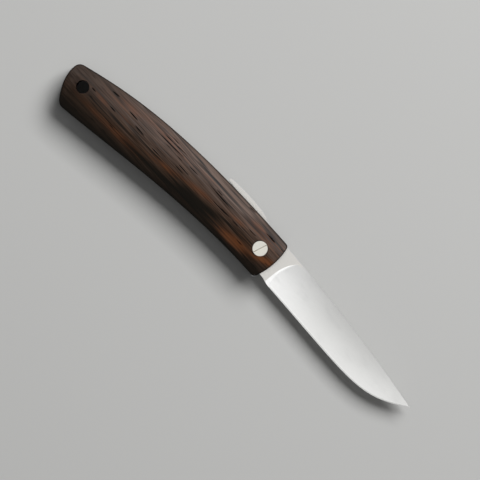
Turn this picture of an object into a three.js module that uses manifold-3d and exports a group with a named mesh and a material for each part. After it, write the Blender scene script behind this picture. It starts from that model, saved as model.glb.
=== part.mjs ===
// Folding pocket knife: a friction folder, its blade open, with two wooden scales on steel liners.
// Millimetres. The origin lies on the pivot axis, level with the flat of the lower scale.
// +X runs from the pivot to the blade's tip, +Y to the blade's spine, +Z up through the handle.

import * as THREE from "three";
import { mergeVertices } from "three/addons/utils/BufferGeometryUtils.js";
import Module from "manifold-3d";

const wasm = await Module();
wasm.setup();

// Thickness of each layer, from the lower scale to the upper one.
const scaleThickness = 4.2;
const linerThickness = 0.8;
const bladeThickness = 2.4;
const washerThickness = 0.3;
const washerClearance = 0.05;

// Handle outline, measured from the pivot axis. Its butt reaches a margin further back than the tip
// does forward, so that the folded blade stays inside.
const handleFront = 7.9;
const buttMargin = 15.3;
const frontBack = 9.05;
const frontBelly = 8.75;
const frontEndRadius = 28;
const frontEndLevel = -1.1;
const buttBackFall = 10.4;
const buttBellyFall = 26.6;
const buttSlant = 7.6;
const buttBulge = 5.1;
const buttCornerInset = 0.4;

// Slopes of the handle's two long curves at their ends, and how far each holds its slope.
const backFrontSlope = 3.2;
const backFrontHold = 0.58;
const backButtSlope = 21.3;
const backButtHold = 0.2;
const bellyFrontSlope = 2.8;
const bellyFrontHold = 0.344;
const bellyButtSlope = 11.3;
const bellyButtHold = 0.224;

// How far each corner of the outline is cut back before it is rounded.
const cornerCuts = { buttBack: 2.1, buttBelly: 1.9, frontBelly: 0.9, frontBack: 1.3 };

// Crown of a scale: how far its outer face falls, and over what width.
const sideFall = 1.8;
const sideFallWidth = 7.5;
const buttFall = 1.4;
const buttFallWidth = 9;
const rimBreak = 0.5;
const crownPower = 2.2;

// Blade outline, measured from the pivot axis.
const bladeReach = 83.4;
const tipHeight = 7.75;
const spineHeight = 8.5;
const spineRise = 1.07;
const heelReach = 12.9;
const heelDepth = 6.5;
const ricassoDepth = 6.1;
const edgeThickness = 0.3;
const plungeReach = 10.9;
const plungeLean = 5.1;
const edgeSlope = 3;
const tipSlope = 41;
const edgeHold = 0.707;
const tipHold = 0.296;

// Tail of the tang, which lies along the handle's back and lifts the folded blade.
const tailReach = 28.1;
const tailTipRadius = 0.8;
const tailTipLevel = 7.35;
const tailCrest = 9.6;
const tailCrestReach = 11.5;
const tailRootReach = 3.5;

// Fold, and the one pin that stops the tail when open and the ricasso when folded.
const foldAngle = 170;
const stopPinDiameter = 2.5;
const stopPinReach = 8.2;
const stopClearance = 0.05;
const foldedEdgeClearance = 1.2;
const tailClearance = 0.4;
const spacerNoseReach = 12;

// Pivot.
const pivotHeadDiameter = 5.9;
const pivotHeadThickness = 1.6;
const pivotHeadClearance = 0.1;
const pivotBarrelDiameter = 4;
const pivotClearance = 0.05;
const pivotScrewDiameter = 2.4;
const pivotScrewClearance = 0.1;
const pivotBarrelFloor = 1;
const pivotEndGap = 0.3;
const driverSlotWidth = 0.5;
const driverSlotDepth = 0.6;
const driverSlotAngle = 79;
const washerDiameter = 9;

// Pins that tie the liners, the spacer and the scales together, and the lanyard hole. Stations are shares
// of the way from the pivot to the butt, levels shares of the way from the butt's back to its belly.
const framePinDiameter = 2;
const pinClearance = 0.05;
const pinEmbed = 1.6;
const pinEndGap = 0.3;
const framePinStations = { front: 0.366, middle: 0.63 };
const rearPinAhead = 3;
const rearPinShare = 0.673;
const lanyardDiameter = 5.1;
const lanyardToButt = 8.4;
const lanyardShare = 0.296;

// Fineness of the curved faces.
const roundSteps = 40;
const pinSteps = 20;
const edgeSteps = 26;
const handleSteps = 22;
const endSteps = 8;
const cornerSteps = 3;

// Levels of the layers along Z.
const slotHeight = bladeThickness + 2 * (washerThickness + washerClearance);
const lowerLinerLevel = scaleThickness;
const slotLevel = lowerLinerLevel + linerThickness;
const upperLinerLevel = slotLevel + slotHeight;
const upperScaleLevel = upperLinerLevel + linerThickness;
const handleThickness = upperScaleLevel + scaleThickness;
const bladeLevel = slotLevel + slotHeight / 2;

const handleRear = bladeReach + buttMargin;
const handleLength = handleFront + handleRear;
const fold = THREE.MathUtils.degToRad(foldAngle);

// Small helpers for points, solids and meshes.
const point = (x, y) => new THREE.Vector2(x, y);
const turned = (start, degrees, length) => {
  const angle = THREE.MathUtils.degToRad(degrees);
  return point(start.x + length * Math.cos(angle), start.y + length * Math.sin(angle));
};
const folded = (p) => p.clone().rotateAround(point(0, 0), -fold);

function solidOf(geometry) {
  const bare = geometry.clone();
  bare.deleteAttribute("normal");
  bare.deleteAttribute("uv");
  const merged = mergeVertices(bare, 1e-5);
  const mesh = new wasm.Mesh({
    numProp: 3,
    vertProperties: Float32Array.from(merged.attributes.position.array),
    triVerts: Uint32Array.from(merged.index.array),
  });
  return new wasm.Manifold(mesh);
}

function geometryOf(solid) {
  const mesh = solid.getMesh();
  const geometry = new THREE.BufferGeometry();
  geometry.setAttribute("position", new THREE.BufferAttribute(mesh.vertProperties, mesh.numProp));
  geometry.setIndex(new THREE.BufferAttribute(mesh.triVerts, 1));
  const flat = geometry.toNonIndexed();
  flat.computeVertexNormals();
  return flat;
}

function plate(outline, low, high) {
  const shape = outline instanceof THREE.Shape ? outline : new THREE.Shape(outline);
  const options = { depth: high - low, bevelEnabled: false, curveSegments: edgeSteps };
  return solidOf(new THREE.ExtrudeGeometry(shape, options).translate(0, 0, low));
}

function rod(diameter, low, high, centre = point(0, 0), steps = roundSteps) {
  const geometry = new THREE.CylinderGeometry(diameter / 2, diameter / 2, high - low, steps);
  geometry.rotateX(Math.PI / 2).translate(centre.x, centre.y, (low + high) / 2);
  return solidOf(geometry);
}

// A closed solid between a grid of points and the same grid laid on another level.
function gridSolid(upper, lower) {
  const rows = upper.length;
  const columns = upper[0].length;
  const points = [...upper.flat(), ...lower.flat()];
  const top = (i, j) => i * columns + j;
  const bottom = (i, j) => rows * columns + i * columns + j;
  const triangles = [];
  const quad = (a, b, c, d) => triangles.push(a, b, c, a, c, d);
  for (let i = 0; i < rows - 1; i++) {
    for (let j = 0; j < columns - 1; j++) {
      quad(top(i, j), top(i, j + 1), top(i + 1, j + 1), top(i + 1, j));
      quad(bottom(i, j), bottom(i + 1, j), bottom(i + 1, j + 1), bottom(i, j + 1));
    }
  }
  for (let i = 0; i < rows - 1; i++) {
    const last = columns - 1;
    quad(top(i, 0), top(i + 1, 0), bottom(i + 1, 0), bottom(i, 0));
    quad(top(i + 1, last), top(i, last), bottom(i, last), bottom(i + 1, last));
  }
  for (let j = 0; j < columns - 1; j++) {
    const last = rows - 1;
    quad(top(0, j + 1), top(0, j), bottom(0, j), bottom(0, j + 1));
    quad(top(last, j), top(last, j + 1), bottom(last, j + 1), bottom(last, j));
  }
  const geometry = new THREE.BufferGeometry().setFromPoints(points);
  geometry.setIndex(triangles);
  return solidOf(geometry);
}

// Handle outline: its back, butt, belly and front end, in turn against the clock.
function handleCurves() {
  const centre = point(handleFront - frontEndRadius, frontEndLevel);
  const frontAngle = (level) => Math.asin((level - frontEndLevel) / frontEndRadius);
  const onFront = (level) => point(centre.x + frontEndRadius * Math.cos(frontAngle(level)), level);
  const frontTop = onFront(frontBack);
  const frontLow = onFront(-frontBelly);
  const buttTop = point(buttCornerInset - handleRear, -buttBackFall);
  const buttLow = point(buttTop.x + buttSlant, -buttBellyFall);
  const back = new THREE.CubicBezierCurve(
    frontTop,
    turned(frontTop, 180 + backFrontSlope, backFrontHold * handleLength),
    turned(buttTop, backButtSlope, backButtHold * handleLength),
    buttTop,
  );
  const middle = buttTop.clone().add(buttLow).multiplyScalar(0.5);
  const butt = new THREE.QuadraticBezierCurve(buttTop, point(middle.x - buttBulge, middle.y), buttLow);
  const belly = new THREE.CubicBezierCurve(
    buttLow,
    turned(buttLow, bellyButtSlope, bellyButtHold * handleLength),
    turned(frontLow, 180 + bellyFrontSlope, bellyFrontHold * handleLength),
    frontLow,
  );
  const front = new THREE.EllipseCurve(
    centre.x, centre.y, frontEndRadius, frontEndRadius, frontAngle(-frontBelly), frontAngle(frontBack),
  );
  return [back, butt, belly, front];
}

// Each side of a closed outline, from the middle of one rounded corner to the middle of the next.
function roundedSides(curves, cuts, steps) {
  const lengths = curves.map((curve) => curve.getLength());
  const corner = (i) => {
    const next = (i + 1) % curves.length;
    const start = curves[i].getPointAt(1 - cuts[i] / lengths[i]);
    const end = curves[next].getPointAt(cuts[i] / lengths[next]);
    return new THREE.QuadraticBezierCurve(start, curves[next].getPoint(0), end);
  };
  return curves.map((curve, i) => {
    const before = (i + curves.length - 1) % curves.length;
    const start = cuts[before] / lengths[i];
    const end = 1 - cuts[i] / lengths[i];
    const points = [];
    for (let k = 0; k < cornerSteps; k++) {
      points.push(corner(before).getPoint(0.5 + (0.5 * k) / cornerSteps));
    }
    for (let k = 0; k <= steps[i]; k++) {
      points.push(curve.getPointAt(start + ((end - start) * k) / steps[i]));
    }
    for (let k = 1; k <= cornerSteps; k++) {
      points.push(corner(i).getPoint((0.5 * k) / cornerSteps));
    }
    return points;
  });
}

const [backSide, buttSide, bellySide, frontSide] = roundedSides(
  handleCurves(),
  [cornerCuts.buttBack, cornerCuts.buttBelly, cornerCuts.frontBelly, cornerCuts.frontBack],
  [handleSteps, endSteps, handleSteps, endSteps],
);
const handleOutline = [backSide, buttSide, bellySide, frontSide].flatMap((side) => side.slice(0, -1));

const atButt = (share) => -buttBackFall - share * (buttBellyFall - buttBackFall);
const lanyardHole = point(-handleRear + lanyardToButt, atButt(lanyardShare));

// The place on a row of points, at a share of its length.
function along(points, share) {
  const steps = points.slice(1).map((p, i) => p.distanceTo(points[i]));
  let left = THREE.MathUtils.clamp(share, 0, 1) * steps.reduce((sum, step) => sum + step, 0);
  let i = 0;
  while (i < steps.length - 1 && left > steps[i]) {
    left -= steps[i];
    i += 1;
  }
  return points[i].clone().lerp(points[i + 1], Math.min(1, left / steps[i]));
}

function distanceTo(points, p) {
  const reach = points.slice(1).map((end, i) => {
    const edge = end.clone().sub(points[i]);
    const share = THREE.MathUtils.clamp(p.clone().sub(points[i]).dot(edge) / edge.lengthSq(), 0, 1);
    return p.distanceTo(points[i].clone().addScaledVector(edge, share));
  });
  return Math.min(...reach);
}

// Thickness of a scale over a place in its outline: crowned across, and falling away at the butt.
function crown(p) {
  const toSides = Math.min(distanceTo(backSide, p), distanceTo(bellySide, p));
  const toButt = distanceTo(buttSide, p);
  const toRim = Math.min(toSides, toButt, distanceTo(frontSide, p));
  const fall = (gap, width) => Math.max(0, 1 - gap / width) ** crownPower;
  const drop = Math.hypot(sideFall * fall(toSides, sideFallWidth), buttFall * fall(toButt, buttFallWidth));
  return scaleThickness - drop - rimBreak * Math.max(0, 1 - toRim / rimBreak);
}

// A scale with its inner face at level 0. Its outer face is a patch stretched between the four sides.
function scaleBlank() {
  const falling = (width) => [0, rimBreak, 0.25 * width, 0.5 * width, 0.75 * width, width];
  const sideGaps = falling(sideFallWidth);
  const frontShares = [0, rimBreak / handleLength];
  const buttShares = falling(buttFallWidth).map((gap) => 1 - gap / handleLength).reverse();
  const step = 1 / handleSteps;
  const inner = Array.from({ length: handleSteps - 1 }, (_, k) => (k + 1) * step);
  const stations = [...frontShares, ...inner.filter((u) => u < buttShares[0] - step / 2), ...buttShares];
  const belly = [...bellySide].reverse();
  const butt = [...buttSide].reverse();
  const grid = stations.map((u) => {
    const high = along(backSide, u);
    const low = along(belly, u);
    const width = high.distanceTo(low);
    const shares = sideGaps.map((gap) => gap / width);
    shares.push(...sideGaps.map((gap) => 1 - gap / width).reverse());
    return shares.map((v) => {
      const place = low.clone().lerp(high, v);
      const ends = along(frontSide, v).multiplyScalar(1 - u).add(along(butt, v).multiplyScalar(u));
      const startLine = belly[0].clone().lerp(backSide[0], v).multiplyScalar(1 - u);
      const endLine = belly.at(-1).clone().lerp(backSide.at(-1), v).multiplyScalar(u);
      return place.add(ends).sub(startLine).sub(endLine);
    });
  });
  const upper = grid.map((row) => row.map((p) => new THREE.Vector3(p.x, p.y, crown(p))));
  const lower = grid.map((row) => row.map((p) => new THREE.Vector3(p.x, p.y, 0)));
  return gridSolid(upper, lower);
}

// Blade outline: its edge runs from the heel to the tip.
const heel = point(heelReach, -heelDepth);
const tip = point(bladeReach, tipHeight);
const edgeCurve = new THREE.CubicBezierCurve(
  heel,
  turned(heel, edgeSlope, edgeHold * (bladeReach - heelReach)),
  turned(tip, 180 + tipSlope, tipHold * (bladeReach - heelReach)),
  tip,
);
const edgePoints = edgeCurve.getPoints(edgeSteps);

// The stop pin touches the ricasso's underside when the blade is folded.
const stopPin = folded(point(stopPinReach, -(ricassoDepth + stopClearance + stopPinDiameter / 2)));
const stopPinTop = point(stopPin.x, stopPin.y + stopPinDiameter / 2 + stopClearance);
const tailTip = point(tailTipRadius - tailReach, tailTipLevel);
const tailLow = point(tailTip.x, tailTip.y - tailTipRadius);
const tailSlope = (stopPinTop.y - tailLow.y) / (stopPinTop.x - tailLow.x);
const tailUnderside = (x) => tailLow.y + tailSlope * (x - tailLow.x);

function bladeShape() {
  const spineEnd = point(handleFront - 1.5, spineHeight);
  const spineMiddle = spineEnd.clone().add(tip).multiplyScalar(0.5);
  const notch = stopPin.x + stopPinDiameter / 2;
  const tailTop = point(tailTip.x, tailTip.y + tailTipRadius);
  const shape = new THREE.Shape();
  shape.moveTo(tip.x, tip.y);
  shape.quadraticCurveTo(spineMiddle.x, spineMiddle.y + 2 * spineRise, spineEnd.x, spineEnd.y);
  shape.lineTo(-tailRootReach, spineHeight - 0.1);
  shape.bezierCurveTo(
    -tailRootReach - 3.5, spineHeight, -tailRootReach - 4, tailCrest, -tailCrestReach, tailCrest,
  );
  shape.quadraticCurveTo((tailTop.x - tailCrestReach) / 2, tailCrest, tailTop.x, tailTop.y);
  shape.absarc(tailTip.x, tailTip.y, tailTipRadius, Math.PI / 2, 1.5 * Math.PI, false);
  shape.lineTo(notch, tailUnderside(notch));
  shape.quadraticCurveTo(notch + 1.1, tailUnderside(notch), notch + 1.1, stopPin.y);
  shape.quadraticCurveTo(-ricassoDepth, stopPin.y / 2, -ricassoDepth, 0);
  shape.absarc(0, 0, ricassoDepth, Math.PI, 1.5 * Math.PI, false);
  shape.lineTo(plungeReach - 1.2, -ricassoDepth);
  shape.quadraticCurveTo(plungeReach + 0.4, -heelDepth, heel.x, heel.y);
  edgePoints.slice(1, -1).forEach((p) => shape.lineTo(p.x, p.y));
  return shape;
}

// Height along Y of a row of points at a distance along X.
function levelAt(points, x) {
  const i = points.findIndex((p, k) => k > 0 && (p.x - x) * (points[k - 1].x - x) <= 0);
  const [a, b] = [points[i - 1], points[i]];
  return a.y + ((b.y - a.y) * (x - a.x)) / (b.x - a.x);
}

// Two flats that rise from the edge at one slope, wide enough to reach past the spine.
function groundWedge() {
  const edgeHalf = edgeThickness / 2;
  const slope = (bladeThickness / 2 - edgeHalf) / (spineHeight + heelDepth);
  const margin = edgeHalf / slope / 2;
  const beyond = turned(tip, tipSlope, 3);
  const before = point(heelReach - 6, -heelDepth);
  const stations = [before, ...edgePoints, beyond].reverse();
  const flat = (side) => stations.map((p) => [-margin, 2 * spineHeight + heelDepth].map(
    (rise) => new THREE.Vector3(p.x, p.y + rise, side * (edgeHalf + slope * rise)),
  ));
  return gridSolid(flat(1), flat(-1));
}

// Everything behind the plunge line keeps the full thickness of the blade.
function ricassoShape() {
  const shape = new THREE.Shape();
  const high = spineHeight + 2;
  shape.moveTo(-tailReach - 5, -2 * heelDepth);
  shape.lineTo(plungeReach, -2 * heelDepth);
  shape.lineTo(plungeReach, -1);
  shape.quadraticCurveTo(plungeReach, spineHeight / 2 + 0.7, plungeReach + plungeLean, high);
  shape.lineTo(-tailReach - 5, high);
  return shape;
}

function bladeSolid() {
  const half = bladeThickness / 2;
  const ground = groundWedge().add(plate(ricassoShape(), -half, half));
  const bore = rod(pivotBarrelDiameter + 2 * pivotClearance, -bladeThickness, bladeThickness);
  return plate(bladeShape(), -half, half).intersect(ground).subtract(bore);
}

// The folded edge, held off by its clearance, bounds the spacer from below.
function foldedEdgeRim() {
  const rim = edgePoints.map((p, i) => {
    const along = edgeCurve.getTangent(i / edgeSteps);
    return folded(point(p.x + foldedEdgeClearance * along.y, p.y - foldedEdgeClearance * along.x));
  });
  const foldedTip = folded(tip);
  return [...rim, point(foldedTip.x - foldedEdgeClearance, foldedTip.y)];
}

const rim = foldedEdgeRim();
const between = (x) => point(x, (levelAt(backSide, x) + levelAt(rim, x)) / 2);
const framePins = {
  front: between(-framePinStations.front * handleRear),
  middle: between(-framePinStations.middle * handleRear),
  rear: point(lanyardHole.x + rearPinAhead, atButt(rearPinShare)),
};

function spacerSolid() {
  const far = handleLength;
  const foldedRoom = [
    point(far, rim[0].y), ...rim, point(rim.at(-1).x, -far), point(far, -far),
  ];
  const tailStart = -tailReach - tailClearance;
  const tailRoom = [
    point(tailStart, tailUnderside(tailStart) - tailClearance),
    point(far, tailUnderside(far) - tailClearance),
    point(far, far),
    point(tailStart, far),
  ];
  const nose = stopPin.x - spacerNoseReach;
  const noseRoom = [point(nose, -far), point(far, -far), point(far, far), point(nose, far)];
  const cut = (outline) => plate(outline, -1, slotHeight + 1);
  let solid = plate(handleOutline, 0, slotHeight);
  solid = solid.subtract(cut(foldedRoom)).subtract(cut(tailRoom)).subtract(cut(noseRoom));
  solid = solid.subtract(rod(lanyardDiameter, -1, slotHeight + 1, lanyardHole));
  for (const centre of Object.values(framePins)) {
    solid = solid.subtract(rod(framePinDiameter + 2 * pinClearance, -1, slotHeight + 1, centre, pinSteps));
  }
  return solid;
}

function linerSolid() {
  const hole = (diameter, centre, steps) => rod(diameter, -1, linerThickness + 1, centre, steps);
  let solid = plate(handleOutline, 0, linerThickness);
  solid = solid.subtract(hole(pivotBarrelDiameter + 2 * pivotClearance));
  solid = solid.subtract(hole(lanyardDiameter, lanyardHole));
  solid = solid.subtract(hole(stopPinDiameter + 2 * pinClearance, stopPin, pinSteps));
  for (const centre of Object.values(framePins)) {
    solid = solid.subtract(hole(framePinDiameter + 2 * pinClearance, centre, pinSteps));
  }
  return solid;
}

// A scale with its sunk seat for the pivot head and its blind holes for the pins.
function scaleSolid() {
  const through = (diameter, centre) => rod(diameter, -1, scaleThickness + 1, centre);
  const blind = (diameter, centre) => rod(diameter, -1, pinEmbed + pinEndGap, centre, pinSteps);
  const seat = rod(
    pivotHeadDiameter + 2 * pivotHeadClearance, scaleThickness - pivotHeadThickness, scaleThickness + 1,
  );
  let solid = scaleBlank().subtract(seat);
  solid = solid.subtract(through(pivotBarrelDiameter + 2 * pivotClearance));
  solid = solid.subtract(through(lanyardDiameter, lanyardHole));
  solid = solid.subtract(blind(stopPinDiameter + 2 * pinClearance, stopPin));
  for (const centre of Object.values(framePins)) {
    solid = solid.subtract(blind(framePinDiameter + 2 * pinClearance, centre));
  }
  return solid;
}

// The same shape seen in the plane of the blade: heights change sign and faces turn round.
function mirrored(geometry) {
  const flipped = geometry.clone().scale(1, 1, -1);
  const place = flipped.attributes.position;
  for (let i = 0; i < place.count; i += 3) {
    const [x, y, z] = [place.getX(i), place.getY(i), place.getZ(i)];
    place.setXYZ(i, place.getX(i + 1), place.getY(i + 1), place.getZ(i + 1));
    place.setXYZ(i + 1, x, y, z);
  }
  flipped.computeVertexNormals();
  return flipped;
}

// A turned part: its profile, given as radius and level, revolves about the Z axis.
function lathe(profile, steps = roundSteps) {
  const points = profile.map(([radius, level]) => point(radius, level));
  return new THREE.LatheGeometry(points, steps).rotateX(Math.PI / 2);
}

function pinGeometry(diameter) {
  const reach = pinEmbed + linerThickness + slotHeight / 2;
  const radius = diameter / 2;
  const chamfer = 0.2;
  return lathe([
    [0, -reach], [radius - chamfer, -reach], [radius, chamfer - reach],
    [radius, reach - chamfer], [radius - chamfer, reach], [0, reach],
  ], pinSteps);
}

function washerGeometry() {
  const inner = pivotBarrelDiameter / 2 + pivotClearance;
  const outer = washerDiameter / 2;
  return lathe([[inner, 0], [outer, 0], [outer, washerThickness], [inner, washerThickness], [inner, 0]]);
}

const barrelTop = handleThickness - pivotHeadThickness - pivotEndGap;
const barrelFloor = pivotHeadThickness + pivotBarrelFloor;

function barrelGeometry() {
  const head = pivotHeadDiameter / 2;
  const body = pivotBarrelDiameter / 2;
  const bore = pivotScrewDiameter / 2 + pivotScrewClearance;
  return lathe([
    [0, 0], [head, 0], [head, pivotHeadThickness], [body, pivotHeadThickness],
    [body, barrelTop], [bore, barrelTop], [bore, barrelFloor], [0, barrelFloor],
  ]);
}

function screwSolid() {
  const head = pivotHeadDiameter / 2;
  const shank = pivotScrewDiameter / 2;
  const seat = handleThickness - pivotHeadThickness;
  const turnedPart = solidOf(lathe([
    [0, barrelFloor + pivotEndGap], [shank, barrelFloor + pivotEndGap], [shank, seat],
    [head, seat], [head, handleThickness], [0, handleThickness],
  ]));
  const slot = new THREE.BoxGeometry(2 * pivotHeadDiameter, driverSlotWidth, 2 * driverSlotDepth);
  slot.rotateZ(THREE.MathUtils.degToRad(driverSlotAngle)).translate(0, 0, handleThickness);
  return turnedPart.subtract(solidOf(slot));
}

const wood = { color: 0x46342b, roughness: 0.55, metalness: 0 };
const satinSteel = { color: 0xd9d9d6, roughness: 0.3, metalness: 0.9 };
const greySteel = { color: 0x8f9193, roughness: 0.45, metalness: 0.9 };
const nickelSilver = { color: 0xe2ded2, roughness: 0.35, metalness: 0.9 };
const bronze = { color: 0xb08a58, roughness: 0.45, metalness: 0.9 };

function part(name, geometry, finish, level = 0, centre = point(0, 0)) {
  const mesh = new THREE.Mesh(geometry, new THREE.MeshStandardMaterial(finish));
  mesh.name = name;
  mesh.position.set(centre.x, centre.y, level);
  return mesh;
}

const scale = geometryOf(scaleSolid());
const liner = geometryOf(linerSolid());

const handle = new THREE.Group();
handle.add(
  part("lower_scale", mirrored(scale), wood, scaleThickness),
  part("lower_liner", liner, greySteel, lowerLinerLevel),
  part("back_spacer", geometryOf(spacerSolid()), greySteel, slotLevel),
  part("upper_liner", liner.clone(), greySteel, upperLinerLevel),
  part("upper_scale", scale, wood, upperScaleLevel),
  part("stop_pin", pinGeometry(stopPinDiameter), greySteel, bladeLevel, stopPin),
);
for (const [place, centre] of Object.entries(framePins)) {
  handle.add(part(`frame_pin_${place}`, pinGeometry(framePinDiameter), greySteel, bladeLevel, centre));
}

const pivot = new THREE.Group();
pivot.add(
  part("pivot_barrel", barrelGeometry(), nickelSilver),
  part("lower_washer", washerGeometry(), bronze, slotLevel),
  part("upper_washer", washerGeometry(), bronze, upperLinerLevel - washerThickness),
  part("pivot_screw", geometryOf(screwSolid()), nickelSilver),
);

const foldingBlade = new THREE.Group();
foldingBlade.position.z = bladeLevel;
foldingBlade.add(part("blade", geometryOf(bladeSolid()), satinSteel));

const knife = new THREE.Group();
knife.add(handle, pivot, foldingBlade);

export default knife;
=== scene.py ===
"""Looks of a folding pocket knife: crowned wooden scales, satin blade, and the frame between them.

Sizes of the classes are in millimetres, as in the part's own source, and meshes are in metres.
The origin lies on the pivot axis, level with the flat of the lower scale. +X runs to the blade's
tip, +Y to its spine.
"""

import logging
import math
from collections.abc import Sequence
from dataclasses import dataclass, replace
from enum import Enum

import bmesh
import bpy
import numpy as np
from bpy.types import Material, Mesh, Node, NodeSocket, NodeTree, Object
from mathutils import Matrix, Vector


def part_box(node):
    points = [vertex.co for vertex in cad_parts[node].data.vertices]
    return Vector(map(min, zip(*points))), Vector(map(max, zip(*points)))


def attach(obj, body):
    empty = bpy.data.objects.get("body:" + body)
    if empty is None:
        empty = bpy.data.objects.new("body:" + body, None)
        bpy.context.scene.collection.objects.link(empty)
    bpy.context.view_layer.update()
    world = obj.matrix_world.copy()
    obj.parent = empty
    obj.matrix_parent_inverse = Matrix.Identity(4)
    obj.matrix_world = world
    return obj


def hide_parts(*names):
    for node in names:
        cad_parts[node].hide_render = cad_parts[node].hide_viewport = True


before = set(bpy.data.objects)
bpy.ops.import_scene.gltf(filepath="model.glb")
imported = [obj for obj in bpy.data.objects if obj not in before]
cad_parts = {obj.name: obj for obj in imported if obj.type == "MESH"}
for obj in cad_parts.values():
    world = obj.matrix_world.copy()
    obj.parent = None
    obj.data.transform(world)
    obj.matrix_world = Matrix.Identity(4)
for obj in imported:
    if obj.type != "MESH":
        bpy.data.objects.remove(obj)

Point = Sequence[float]
Colour = tuple[float, float, float, float]

MM = 0.001
MERGE_GAP = 1e-7
HANDLE = "handle"
BLADE = "folding_blade"
PIN_PLACES = ("front", "middle", "rear")
LANYARD_PLACE = (-90.3, -15.195)
STREAK_DEPTH = 1e5
log = logging.getLogger("knife")


class Slot(Enum):
    """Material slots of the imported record."""

    WOOD = "wood"
    BLADE_STEEL = "blade_steel"
    FRAME_STEEL = "frame_steel"
    NICKEL_SILVER = "nickel_silver"
    BRONZE = "bronze"


# Rows of points in a plane.


def bezier(controls: Sequence[Point], steps: int) -> np.ndarray:
    """Points of a Bezier curve.

    Args:
        controls: Its control points, in turn.
        steps: How many steps it is cut into.

    Returns:
        One row for each point, ends included.
    """
    t = np.linspace(0, 1, steps + 1)[:, None]
    n = len(controls) - 1
    terms = (
        math.comb(n, k) * (1 - t) ** (n - k) * t**k * np.asarray(p, float)
        for k, p in enumerate(controls)
    )
    return sum(terms)


def turned(start: Point, degrees: float, length: float) -> tuple[float, float]:
    """The point at a direction and distance from a start."""
    angle = math.radians(degrees)
    return (start[0] + length * math.cos(angle), start[1] + length * math.sin(angle))


def reach(points: np.ndarray) -> np.ndarray:
    """Distance travelled along a row of points, up to each of them."""
    steps = np.linalg.norm(np.diff(points, axis=0), axis=1)
    return np.concatenate([[0], np.cumsum(steps)])


def along(points: np.ndarray, places: np.ndarray) -> np.ndarray:
    """Points at given distances along a row of points."""
    travelled = reach(points)
    return np.stack([np.interp(places, travelled, points[:, k]) for k in range(2)], axis=1)


def distance(points: np.ndarray, row: np.ndarray) -> np.ndarray:
    """Shortest distance from each point to a row of straight segments.

    Args:
        points: Points in the plane, one to a row.
        row: Corners of the segments, in turn.

    Returns:
        One distance for each point.
    """
    starts, edges = row[:-1], np.diff(row, axis=0)
    gaps = points[:, None, :] - starts[None]
    share = np.clip((gaps * edges).sum(2) / (edges**2).sum(1), 0, 1)
    return np.linalg.norm(gaps - share[..., None] * edges, axis=2).min(1)


def arc(centre: Point, radius: float, start: float, end: float, count: int) -> np.ndarray:
    """Points of an arc.

    Args:
        centre: Its centre.
        radius: Its radius.
        start: Direction of its first point, in half turns.
        end: Direction of its last point, in half turns.
        count: How many points it has.

    Returns:
        One row for each point.
    """
    turns = np.linspace(start * math.pi, end * math.pi, count)
    return np.stack([np.cos(turns), np.sin(turns)], 1) * radius + centre


def circle(diameter: float, centre: Point = (0, 0), steps: int = 96) -> np.ndarray:
    """Points round a circle, against the clock, without a repeated end."""
    t = np.linspace(0, 2 * math.pi, steps, endpoint=False)
    return np.stack([np.cos(t), np.sin(t)], 1) * diameter / 2 + np.asarray(centre, float)


def level(points: np.ndarray, height: float) -> np.ndarray:
    """Points of the plane, set at a height."""
    return np.column_stack([points, np.full(len(points), height)])


def inset(ring: np.ndarray, gap: float) -> np.ndarray:
    """A closed ring drawn in by a small gap.

    Args:
        ring: Its points, against the clock.
        gap: How far it is drawn in.

    Returns:
        As many points, each moved square to the ring.
    """
    run = np.roll(ring, -1, axis=0) - np.roll(ring, 1, axis=0)
    run /= np.linalg.norm(run, axis=1)[:, None]
    return ring + gap * np.stack([-run[:, 1], run[:, 0]], 1)


# Meshes and objects.


def mesh_of(name: str, points: np.ndarray, faces: Sequence[Sequence[int]]) -> Mesh:
    """A mesh in metres from points in millimetres, with doubled points merged.

    Args:
        name: Name of the mesh.
        points: One point to a row.
        faces: Point numbers of each face.

    Returns:
        The mesh, its faces pointing outwards.
    """
    mesh = bpy.data.meshes.new(name)
    mesh.from_pydata((np.asarray(points, float) * MM).tolist(), [], [list(f) for f in faces])
    shape = bmesh.new()
    shape.from_mesh(mesh)
    bmesh.ops.remove_doubles(shape, verts=shape.verts, dist=MERGE_GAP)
    bmesh.ops.dissolve_degenerate(shape, edges=shape.edges, dist=MERGE_GAP)
    bmesh.ops.recalc_face_normals(shape, faces=shape.faces)
    shape.to_mesh(mesh)
    shape.free()
    return mesh


def hold(mesh: Mesh, name: str, values: np.ndarray) -> None:
    """Gives each point of a mesh a value, under a name."""
    attribute = mesh.attributes.new(name, "FLOAT", "POINT")
    attribute.data.foreach_set("value", values.astype(np.float32))


def object_of(mesh: Mesh) -> Object:
    """A new object of the scene.

    Args:
        mesh: What it shows.

    Returns:
        The object, under the mesh's own name.
    """
    made = bpy.data.objects.new(mesh.name, mesh)
    bpy.context.scene.collection.objects.link(made)
    return made


def evaluated(shape: Object) -> Mesh:
    """The plain mesh that an object's modifiers make. The object is removed.

    Args:
        shape: Object with modifiers.

    Returns:
        The resulting mesh, under the object's name.
    """
    bpy.context.view_layer.update()
    graph = bpy.context.evaluated_depsgraph_get()
    result = bpy.data.meshes.new_from_object(shape.evaluated_get(graph))
    name, old = shape.name, shape.data
    bpy.data.objects.remove(shape)
    bpy.data.meshes.remove(old)
    result.name = name
    return result


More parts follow.
